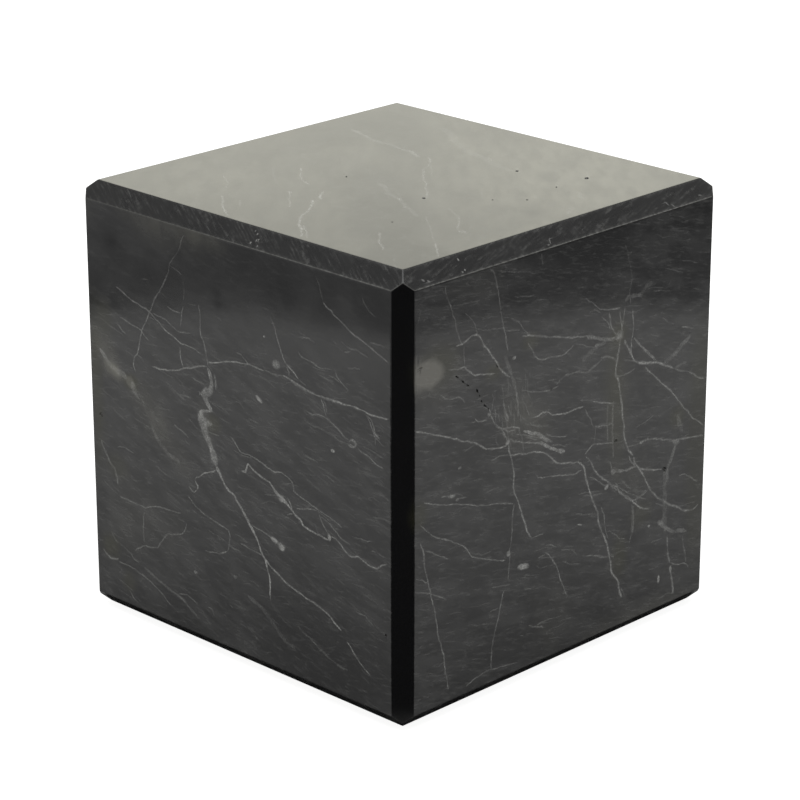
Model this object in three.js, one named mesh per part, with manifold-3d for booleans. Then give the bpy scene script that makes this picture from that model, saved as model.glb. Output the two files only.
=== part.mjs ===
// A polished cube of shungite, a black carbon-rich rock, of the kind sold as a
// desk ornament or paperweight. It is one natural piece: a sawn and polished
// block with a narrow bevel ground along each of its twelve edges. The few open
// pits that polishing leaves in such stone are cut into its faces.
//
// Millimetres, +Z up, origin at the centre of the face that the cube rests on.

import * as THREE from 'three';
import { mergeVertices } from 'three/addons/utils/BufferGeometryUtils.js';
import Module from 'manifold-3d';

// ---- Driving dimensions ----
const SIDE = 100; // the cube's side, face to face
const BEVEL_LEG = 3.5; // how far each level bevel reaches along both of its faces
const UPRIGHT_BEVEL_LEG = 3.3; // the same for the four upright bevels, a little narrower
const PIT_SIDES = 8; // corners of a pit's outline
const PIT_RINGS = 5; // rows of facets from a pit's rim to its deepest point

// ---- Finish ----
const STONE_COLOUR = 0x1c1d1f;
const STONE_ROUGHNESS = 0.2;
const STONE_METALNESS = 0;

// Each face is described by its outward direction and by the direction that is
// "along" for the pits on it; "up" on the face is worked out from the two.
const FACES = {
  front: { out: new THREE.Vector3(0, -1, 0), along: new THREE.Vector3(1, 0, 0) },
  right: { out: new THREE.Vector3(1, 0, 0), along: new THREE.Vector3(0, 1, 0) },
  back: { out: new THREE.Vector3(0, 1, 0), along: new THREE.Vector3(-1, 0, 0) },
  left: { out: new THREE.Vector3(-1, 0, 0), along: new THREE.Vector3(0, -1, 0) },
  top: { out: new THREE.Vector3(0, 0, 1), along: new THREE.Vector3(1, 0, 0) },
};

// The open pits: where each one lies from the middle of its face (along, up),
// how long and wide it is, how deep, and how far its long axis is turned from
// "along", in degrees. Those in a row on the right face follow one open crack.
const PITS = [
  { face: 'top', at: [29, 28.7], size: [1.6, 0.9], depth: 0.35, turn: -50 },
  { face: 'top', at: [14.3, 22.3], size: [1.2, 0.7], depth: 0.2, turn: -50 },
  { face: 'top', at: [29, 18.8], size: [1.1, 0.35], depth: 0.12, turn: -45 },
  { face: 'top', at: [31, 7.2], size: [0.8, 0.5], depth: 0.14, turn: -45 },
  { face: 'top', at: [25.8, 2], size: [0.7, 0.4], depth: 0.08, turn: -45 },
  { face: 'top', at: [14.4, -7.3], size: [1.2, 0.7], depth: 0.22, turn: -35 },
  { face: 'top', at: [-9.2, -7.2], size: [1.2, 0.4], depth: 0.12, turn: -45 },
  { face: 'top', at: [22, -24.6], size: [0.7, 0.4], depth: 0.1, turn: -40 },
  { face: 'right', at: [-34.4, 25.3], size: [1.1, 0.34], depth: 0.25, turn: -35 },
  { face: 'right', at: [-32.6, 23.8], size: [1.2, 0.32], depth: 0.25, turn: -45 },
  { face: 'right', at: [-31.1, 22.6], size: [0.8, 0.3], depth: 0.2, turn: -35 },
  { face: 'right', at: [-28.3, 20.7], size: [1.1, 0.45], depth: 0.3, turn: -60 },
  { face: 'right', at: [-27.6, 19.4], size: [0.5, 0.3], depth: 0.2, turn: -60 },
  { face: 'right', at: [-27, 18.1], size: [0.7, 0.3], depth: 0.2, turn: -60 },
  { face: 'right', at: [-25.9, 16.9], size: [1.1, 0.32], depth: 0.25, turn: -48 },
  { face: 'right', at: [-24.9, 15.9], size: [0.5, 0.25], depth: 0.2, turn: -50 },
  { face: 'right', at: [-22.4, 24.6], size: [0.8, 0.3], depth: 0.2, turn: -58 },
  { face: 'right', at: [-23.2, 26.2], size: [0.5, 0.26], depth: 0.2, turn: -58 },
  { face: 'right', at: [-45.2, 29.6], size: [1.7, 0.6], depth: 0.3, turn: 20 },
  { face: 'right', at: [32.8, -13.4], size: [1.4, 0.8], depth: 0.4, turn: -20 },
  { face: 'right', at: [15.9, -2.2], size: [1, 0.6], depth: 0.3, turn: 0 },
  { face: 'right', at: [-5.4, 15.2], size: [0.8, 0.5], depth: 0.25, turn: 0 },
  { face: 'front', at: [45.1, -28.6], size: [0.8, 0.6], depth: 0.3, turn: 60 },
  { face: 'front', at: [-43.8, -3], size: [1.3, 0.9], depth: 0.3, turn: 0 },
  { face: 'back', at: [18, 27], size: [1.8, 0.8], depth: 0.35, turn: -30 },
  { face: 'back', at: [-24, -12], size: [1.4, 0.7], depth: 0.3, turn: -50 },
  { face: 'left', at: [-16, 20], size: [1.6, 0.8], depth: 0.35, turn: -40 },
  { face: 'left', at: [27, -21], size: [1.3, 0.7], depth: 0.3, turn: -20 },
];

const wasm = await Module();
wasm.setup();

// Turns a closed three.js shape into a solid that can be joined and cut.
function toSolid(geometry) {
  const bare = geometry.clone();
  bare.deleteAttribute('normal');
  bare.deleteAttribute('uv');
  const merged = mergeVertices(bare);
  return new wasm.Manifold(new wasm.Mesh({
    numProp: 3,
    vertProperties: new Float32Array(merged.attributes.position.array),
    triVerts: new Uint32Array(merged.index.array),
  }));
}

// Turns a solid back into a shape with one flat normal for each facet.
function toGeometry(solid) {
  const mesh = solid.getMesh();
  const indexed = new THREE.BufferGeometry();
  indexed.setAttribute('position', new THREE.BufferAttribute(new Float32Array(mesh.vertProperties), 3));
  indexed.setIndex(new THREE.BufferAttribute(new Uint32Array(mesh.triVerts), 1));
  const faceted = indexed.toNonIndexed();
  faceted.computeVertexNormals();
  return faceted;
}

// The sawn block, centred on the origin, with every edge ground off at 45
// degrees: the cube is what it shares with three square bars, one along each
// axis, each turned by an eighth of a turn about its own length.
function bevelledCube() {
  const acrossBar = Math.SQRT2 * (SIDE - BEVEL_LEG);
  const acrossUpright = Math.SQRT2 * (SIDE - UPRIGHT_BEVEL_LEG);
  const barLength = 2 * SIDE;
  const barAlongX = new THREE.BoxGeometry(barLength, acrossBar, acrossBar).rotateX(Math.PI / 4);
  const barAlongY = new THREE.BoxGeometry(acrossBar, barLength, acrossBar).rotateY(Math.PI / 4);
  const barAlongZ = new THREE.BoxGeometry(acrossUpright, acrossUpright, barLength).rotateZ(Math.PI / 4);
  return toSolid(new THREE.BoxGeometry(SIDE, SIDE, SIDE))
    .intersect(toSolid(barAlongX))
    .intersect(toSolid(barAlongY))
    .intersect(toSolid(barAlongZ));
}

// One pit: a flattened ball sunk to its middle in the face, long side turned.
function pitCutter({ face, at, size, depth, turn }) {
  const { out, along } = FACES[face];
  const up = out.clone().cross(along);
  const centre = out.clone().multiplyScalar(SIDE / 2)
    .addScaledVector(along, at[0])
    .addScaledVector(up, at[1]);
  const placing = new THREE.Matrix4().makeBasis(along, up, out).setPosition(centre);
  const ball = new THREE.SphereGeometry(1, PIT_SIDES, PIT_RINGS)
    .rotateX(Math.PI / 2)
    .scale(size[0] / 2, size[1] / 2, depth)
    .rotateZ(THREE.MathUtils.degToRad(turn))
    .applyMatrix4(placing);
  return toSolid(ball);
}

const stone = new THREE.MeshStandardMaterial({
  name: 'polished_shungite',
  color: STONE_COLOUR,
  roughness: STONE_ROUGHNESS,
  metalness: STONE_METALNESS,
});

const block = PITS.reduce((solid, pit) => solid.subtract(pitCutter(pit)), bevelledCube());
const cube = new THREE.Mesh(toGeometry(block), stone);
cube.name = 'shungite_cube';
cube.position.z = SIDE / 2;

const part = new THREE.Group();
part.name = 'shungite_cube_part';
part.add(cube);

export default part;
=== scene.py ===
# %% [markdown]
# A polished cube of shungite, built as a lesson
#
# Shungite is a black, carbon-rich rock. A cube of it is sawn from one block, its
# six faces are polished until they reflect like dark glass, and a narrow bevel is
# ground along each edge. Pale mineral veins, as fine as a hair, run through the
# stone. The block is one solid, so there is one piece here, and nearly all of the
# work goes into its surface: the softened edges, the open pits, the veins, and the
# way in which a black polish shows the light around it.

# %% Load the block and measure it
import math
import bpy
import numpy as np
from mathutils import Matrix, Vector
from mathutils.geometry import delaunay_2d_cdt


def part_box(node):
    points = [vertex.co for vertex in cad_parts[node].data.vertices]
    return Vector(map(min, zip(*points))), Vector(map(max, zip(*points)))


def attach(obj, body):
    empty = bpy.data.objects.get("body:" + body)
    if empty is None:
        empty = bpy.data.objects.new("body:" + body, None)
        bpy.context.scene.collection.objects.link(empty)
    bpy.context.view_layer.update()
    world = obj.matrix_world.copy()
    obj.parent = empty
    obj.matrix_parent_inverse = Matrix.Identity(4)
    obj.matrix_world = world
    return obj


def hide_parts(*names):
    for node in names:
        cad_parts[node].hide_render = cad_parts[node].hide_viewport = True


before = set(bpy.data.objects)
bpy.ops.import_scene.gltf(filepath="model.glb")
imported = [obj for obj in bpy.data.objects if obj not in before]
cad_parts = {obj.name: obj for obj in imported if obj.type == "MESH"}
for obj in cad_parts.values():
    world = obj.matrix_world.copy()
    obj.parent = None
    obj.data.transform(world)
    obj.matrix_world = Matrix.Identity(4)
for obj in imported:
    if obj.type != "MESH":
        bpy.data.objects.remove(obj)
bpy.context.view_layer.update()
LOW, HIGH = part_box("shungite_cube")
MIDDLE = (LOW + HIGH) / 2
SIDE = HIGH.z - LOW.z
MM = 0.001
HALF = SIDE / 2 / MM
BEVEL_LEG = 3.5
UPRIGHT_LEG = 3.3
print(f"side {SIDE:.4f} m, half side {HALF:.2f} mm, middle {tuple(round(v, 4) for v in MIDDLE)}")

# %% [markdown]
# Where the viewer stands
#
# The cube is seen with one upright edge towards us and from a little above, through
# a long lens: the camera is almost seven sides away, so the edges hardly converge.
# A camera could be placed by hand. Working its place out from an azimuth, an
# elevation and a distance counted in sides keeps it right if the block changes.

# %% Camera
CAMERA_AZIMUTH = math.radians(44.44)
CAMERA_ELEVATION = math.radians(20.04)
CAMERA_DISTANCE = 6.878 * SIDE
CAMERA_LENS = 138.35
AIM_HEIGHT = 0.486 * SIDE
CAMERA_SHIFT = 0.0006


def direction(azimuth, elevation):
    """The unit vector at an azimuth, counted from -Y towards +X, and an elevation."""
    level = math.cos(elevation)
    return Vector((math.sin(azimuth) * level, -math.cos(azimuth) * level, math.sin(elevation)))


def add_camera():
    """A camera on the line from the aim, turned to look straight back along it."""
    back = direction(CAMERA_AZIMUTH, CAMERA_ELEVATION)
    camera = bpy.data.objects.new("camera", bpy.data.cameras.new("camera"))
    bpy.context.scene.collection.objects.link(camera)
    camera.data.lens = CAMERA_LENS
    camera.data.shift_x = CAMERA_SHIFT
    camera.data.clip_start = SIDE / 10
    camera.location = Vector((MIDDLE.x, MIDDLE.y, LOW.z + AIM_HEIGHT)) + CAMERA_DISTANCE * back
    camera.rotation_euler = (-back).to_track_quat("-Z", "Y").to_euler()
    bpy.context.scene.camera = camera
    return camera


print("camera at", tuple(round(v, 4) for v in add_camera().location))

# %% [markdown]
# Small helpers for shader nodes
#
# A material made of nodes is a small program. Four helpers keep it short to write:
# one adds a node and links or sets its inputs, one does a step of arithmetic, one
# makes a soft step and one makes noise. A fifth opens a node group with named sockets, so that an
# effect is built once and can then be used in several places.

# %% Node helpers
def node(tree, kind, inputs=None, **settings):
    """Adds a node, sets its properties, then links a socket or sets a value for each input."""
    made = tree.nodes.new(kind)
    for name, value in settings.items():
        setattr(made, name, value)
    for place, value in (inputs or {}).items():
        if isinstance(value, bpy.types.NodeSocket):
            tree.links.new(value, made.inputs[place])
        else:
            made.inputs[place].default_value = value
    return made


def sums(tree, operation, first, second=0.0):
    """The result of one step of arithmetic, such as ADD or MULTIPLY."""
    return node(tree, "ShaderNodeMath", {0: first, 1: second}, operation=operation).outputs[0]


def soft_step(tree, value, start, end, low=0.0, high=1.0):
    """low up to start and high past end, with an S-shaped rise between them."""
    inputs = {"Value": value, "From Min": start, "From Max": end, "To Min": low, "To Max": high}
    return node(tree, "ShaderNodeMapRange", inputs, interpolation_type="SMOOTHSTEP").outputs["Result"]


def noise(tree, place, scale, detail=2.0, roughness=0.5):
    """Noise of about 0 to 1 at a place: more detail adds finer parts, roughness their share."""
    inputs = {"Vector": place, "Scale": scale, "Detail": detail, "Roughness": roughness}
    return node(tree, "ShaderNodeTexNoise", inputs).outputs[0]


def new_group(name, inputs, outputs):
    """A node group with input sockets (name, kind, value) and output sockets (name, kind)."""
    group = bpy.data.node_groups.new(name, "ShaderNodeTree")
    for title, kind, value in inputs:
        socket = group.interface.new_socket(title, in_out="INPUT", socket_type=kind)
        socket.default_value = value
    for title, kind in outputs:
        group.interface.new_socket(title, in_out="OUTPUT", socket_type=kind)
    return group


# %% [markdown]
# The studio
#
# A polished black stone has hardly any colour of its own: what is seen in it is the
# room. The cube stands on a pale floor that runs out into white. Its sides mirror
# the nearest part of the floor, a square pale sheet, and above the rim of that sheet
# the darker end of the studio, so each side is paler below and darker towards its
# top. The top mirrors a bright wall behind the cube.
#
# Lamps would show as hard spots in such a mirror. A world shader gives a soft room
# instead: its brightness depends mostly on how high a direction points. A dark
# screen stands low in front of the cube and another behind it, and low down the
# room is dimmer on one side. The floor that the camera sees stays out of the
# mirror, so that the sheet and the room alone set what the stone reflects.

# %% The room as a world shader
ROOM_TONES = [
    (-1.00, 0.05),
    (-0.50, 0.28),
    (-0.31, 0.36),
    (-0.12, 0.42),
    (0.06, 0.60),
    (0.16, 1.05),
    (0.22, 1.36),
    (0.28, 1.40),
    (0.33, 0.99),
    (0.44, 0.60),
    (0.58, 0.28),
    (0.76, 0.31),
    (0.86, 2.80),
    (0.95, 2.80),
    (0.98, 0.50),
]
BRIGHTEST = max(tone for _, tone in ROOM_TONES)
WALL_WARMTH = (1.0, 0.99, 0.87)
SCREEN_SIDE = direction(math.radians(45), 0.0)
DIM_SIDE = direction(math.radians(135), 0.0)


def fill_ramp(ramp, stops):
    """Gives a colour ramp these stops of (place from 0 to 1, grey or colour)."""
    while len(ramp.elements) < len(stops):
        ramp.elements.new(1.0)
    for element, (place, tone) in zip(ramp.elements, stops):
        element.position = place
        element.color = (tone, tone, tone, 1.0) if isinstance(tone, float) else (*tone, 1.0)


def build_room():
    """A world that is white to the camera and a soft studio to everything else."""
    world = bpy.data.worlds.new("studio_room")
    world.use_nodes = True
    tree = world.node_tree
    tree.nodes.clear()
    towards = node(tree, "ShaderNodeTexCoord").outputs["Generated"]
    height = node(tree, "ShaderNodeSeparateXYZ", {"Vector": towards}).outputs["Z"]
    place = node(tree, "ShaderNodeMapRange", {"Value": height, "From Min": -1.0}).outputs["Result"]
    tones = node(tree, "ShaderNodeValToRGB", {"Fac": place})
    fill_ramp(tones.color_ramp, [((h + 1) / 2, tone / BRIGHTEST) for h, tone in ROOM_TONES])
    facing = node(tree, "ShaderNodeVectorMath", {0: towards, 1: SCREEN_SIDE}, operation="DOT_PRODUCT")
    beside = soft_step(tree, sums(tree, "ABSOLUTE", facing.outputs["Value"]), 0.90, 0.78)
    above = soft_step(tree, height, -0.15, 0.0)
    open_part = sums(tree, "MAXIMUM", beside, above)
    dimmed = soft_step(tree, open_part, 0.0, 1.0, 0.015, 1.0)
    side = node(tree, "ShaderNodeVectorMath", {0: towards, 1: DIM_SIDE}, operation="DOT_PRODUCT")
    lit_side = soft_step(tree, height, -0.31, -0.26, 0.60, 1.00)
    dim_side = soft_step(tree, height, -0.31, -0.26, 0.78, 0.20)
    which = soft_step(tree, side.outputs["Value"], -0.4, 0.4)
    far_end = node(tree, "ShaderNodeMix", {0: which, 2: lit_side, 3: dim_side}).outputs[0]
    level = sums(tree, "MAXIMUM", far_end, soft_step(tree, height, -0.2, 0.0))
    strength = sums(tree, "MULTIPLY", sums(tree, "MULTIPLY", dimmed, level), BRIGHTEST)
    low_wall = soft_step(tree, height, 0.05, 0.2)
    high_wall = soft_step(tree, height, 0.5, 0.35)
    warm = node(tree, "ShaderNodeMix", data_type="RGBA", blend_type="MULTIPLY")
    tree.links.new(sums(tree, "MULTIPLY", low_wall, high_wall), warm.inputs[0])
    tree.links.new(tones.outputs["Color"], warm.inputs[6])
    warm.inputs[7].default_value = (*WALL_WARMTH, 1.0)
    room = node(tree, "ShaderNodeBackground", {"Color": warm.outputs[2], "Strength": strength})
    white = node(tree, "ShaderNodeBackground", {"Color": (1.0, 1.0, 1.0, 1.0), "Strength": 1.0})
    seen = node(tree, "ShaderNodeLightPath").outputs["Is Camera Ray"]
    mixed = node(tree, "ShaderNodeMixShader", {0: seen, 1: room.outputs[0], 2: white.outputs[0]})
    node(tree, "ShaderNodeOutputWorld", {"Surface": mixed.outputs[0]})
    bpy.context.scene.world = world
    bpy.context.scene.view_settings.view_transform = "Standard"


build_room()
print("room tones from", min(tone for _, tone in ROOM_TONES), "to", BRIGHTEST)

# %% The floor and the paper sheet
FLOOR_HALF = 40 * SIDE
SHEET_HALF = 2.34 * SIDE
SHEET_ROUNDNESS = 4.5
FLOOR_GAP = 0.0002


def flat_mesh(name, corners):
    """One flat face through corners (n x 3), counted so that it looks up."""
    mesh = bpy.data.meshes.new(name)
    mesh.from_pydata(corners.tolist(), [], [tuple(range(len(corners)))])
    made = bpy.data.objects.new(name, mesh)
    bpy.context.scene.collection.objects.link(made)
    return made


def rounded_square(sides, half, power, height):
    """Points about the cube where (|x| ** power + |y| ** power) ** (1 / power) is the half width."""
    angle = 2 * np.pi * (np.arange(sides) + 0.5) / sides
    corner = (np.abs(np.cos(angle)) ** power + np.abs(np.sin(angle)) ** power) ** (-1 / power)
    x = MIDDLE.x + half * corner * np.cos(angle)
    y = MIDDLE.y + half * corner * np.sin(angle)
    return np.column_stack([x, y, np.full(sides, height)])


def matt_paint(name):
    """A material without gloss: the material, its tree and its shader."""
    material = bpy.data.materials.new(name)
    material.use_nodes = True
    shader = material.node_tree.nodes["Principled BSDF"]
    shader.inputs["Roughness"].default_value = 1.0
    shader.inputs["Specular IOR Level"].default_value = 0.0
    return material, material.node_tree, shader


def floor_paint():
    """A pale floor with a faint cloudiness, lit a little from below."""
    material, tree, shader = matt_paint("floor_paint")
    place = node(tree, "ShaderNodeTexCoord").outputs["Object"]
    cloud = noise(tree, place, 2.0)
    tree.links.new(soft_step(tree, cloud, 0.3, 0.7, 0.38, 0.40), shader.inputs["Base Color"])
    shader.inputs["Emission Color"].default_value = (1.0, 1.0, 1.0, 1.0)
    shader.inputs["Emission Strength"].default_value = 0.88
    return material


def sheet_painted_shade():
    """Pale paper with painted shade: a painted shadow under the block, painted shade that greys it near the
    block, and painted shade past the line of the screens.
    """
    material, tree, shader = matt_paint("sheet_painted_shade")
    place = node(tree, "ShaderNodeTexCoord").outputs["Object"]
    parts = node(tree, "ShaderNodeSeparateXYZ", {0: place}).outputs
    along = sums(tree, "ABSOLUTE", parts["X"])
    square = sums(tree, "MAXIMUM", along, sums(tree, "ABSOLUTE", parts["Y"]))
    # a painted shadow under the block, and painted shade that greys the paper near it
    under = soft_step(tree, square, 0.484 * SIDE, 0.492 * SIDE, 0.02, 0.55)
    beside = sums(tree, "MAXIMUM", under, soft_step(tree, square, 0.50 * SIDE, 0.56 * SIDE))
    far = node(tree, "ShaderNodeVectorMath", {0: place}, operation="LENGTH").outputs["Value"]
    # the paper greys towards the block as painted shade
    paper = sums(tree, "MULTIPLY", soft_step(tree, far, 0.3 * SIDE, 2.6 * SIDE, 0.43, 0.59), beside)
    ahead = node(tree, "ShaderNodeVectorMath", {0: place, 1: SCREEN_SIDE}, operation="DOT_PRODUCT")
    ahead = sums(tree, "ABSOLUTE", ahead.outputs["Value"])
    # painted shade past the line of the screens, in front of the block and behind it
    clear = soft_step(tree, ahead, 0.80 * SIDE, 0.70 * SIDE, 0.02, 1.0)
    tree.links.new(sums(tree, "MULTIPLY", paper, clear), shader.inputs["Base Color"])
    return material


floor = flat_mesh("studio_floor", rounded_square(4, FLOOR_HALF, 2.0, LOW.z - 2 * FLOOR_GAP))
floor.data.materials.append(floor_paint())
floor.visible_glossy = False
sheet = flat_mesh("paper_sheet", rounded_square(96, SHEET_HALF, SHEET_ROUNDNESS, LOW.z - FLOOR_GAP))
sheet.data.materials.append(sheet_painted_shade())
sheet.visible_camera = False
sheet.visible_diffuse = False
sheet.visible_shadow = False
print(f"floor {2 * FLOOR_HALF:.1f} m, half sheet {SHEET_HALF:.3f} m")

# %% [markdown]
# The veins and other marks, as lists
#
# A vein in the real stone is a crack that a pale mineral has filled. On a polished
# face it shows as a thin wandering line, and it can be written down as one: a width,
# how pale it is from 0 to 1, and a few points on the face. All places are in
# millimetres from the middle of a face, first along it and then up it. A third
# number in a point is the vein's own width there, where it swells or thins.
#
# Painting the lines into an image would tie them to its pixels, and a noise texture
# never gives the same bold veins in the right places, so they are drawn from lists.

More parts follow.
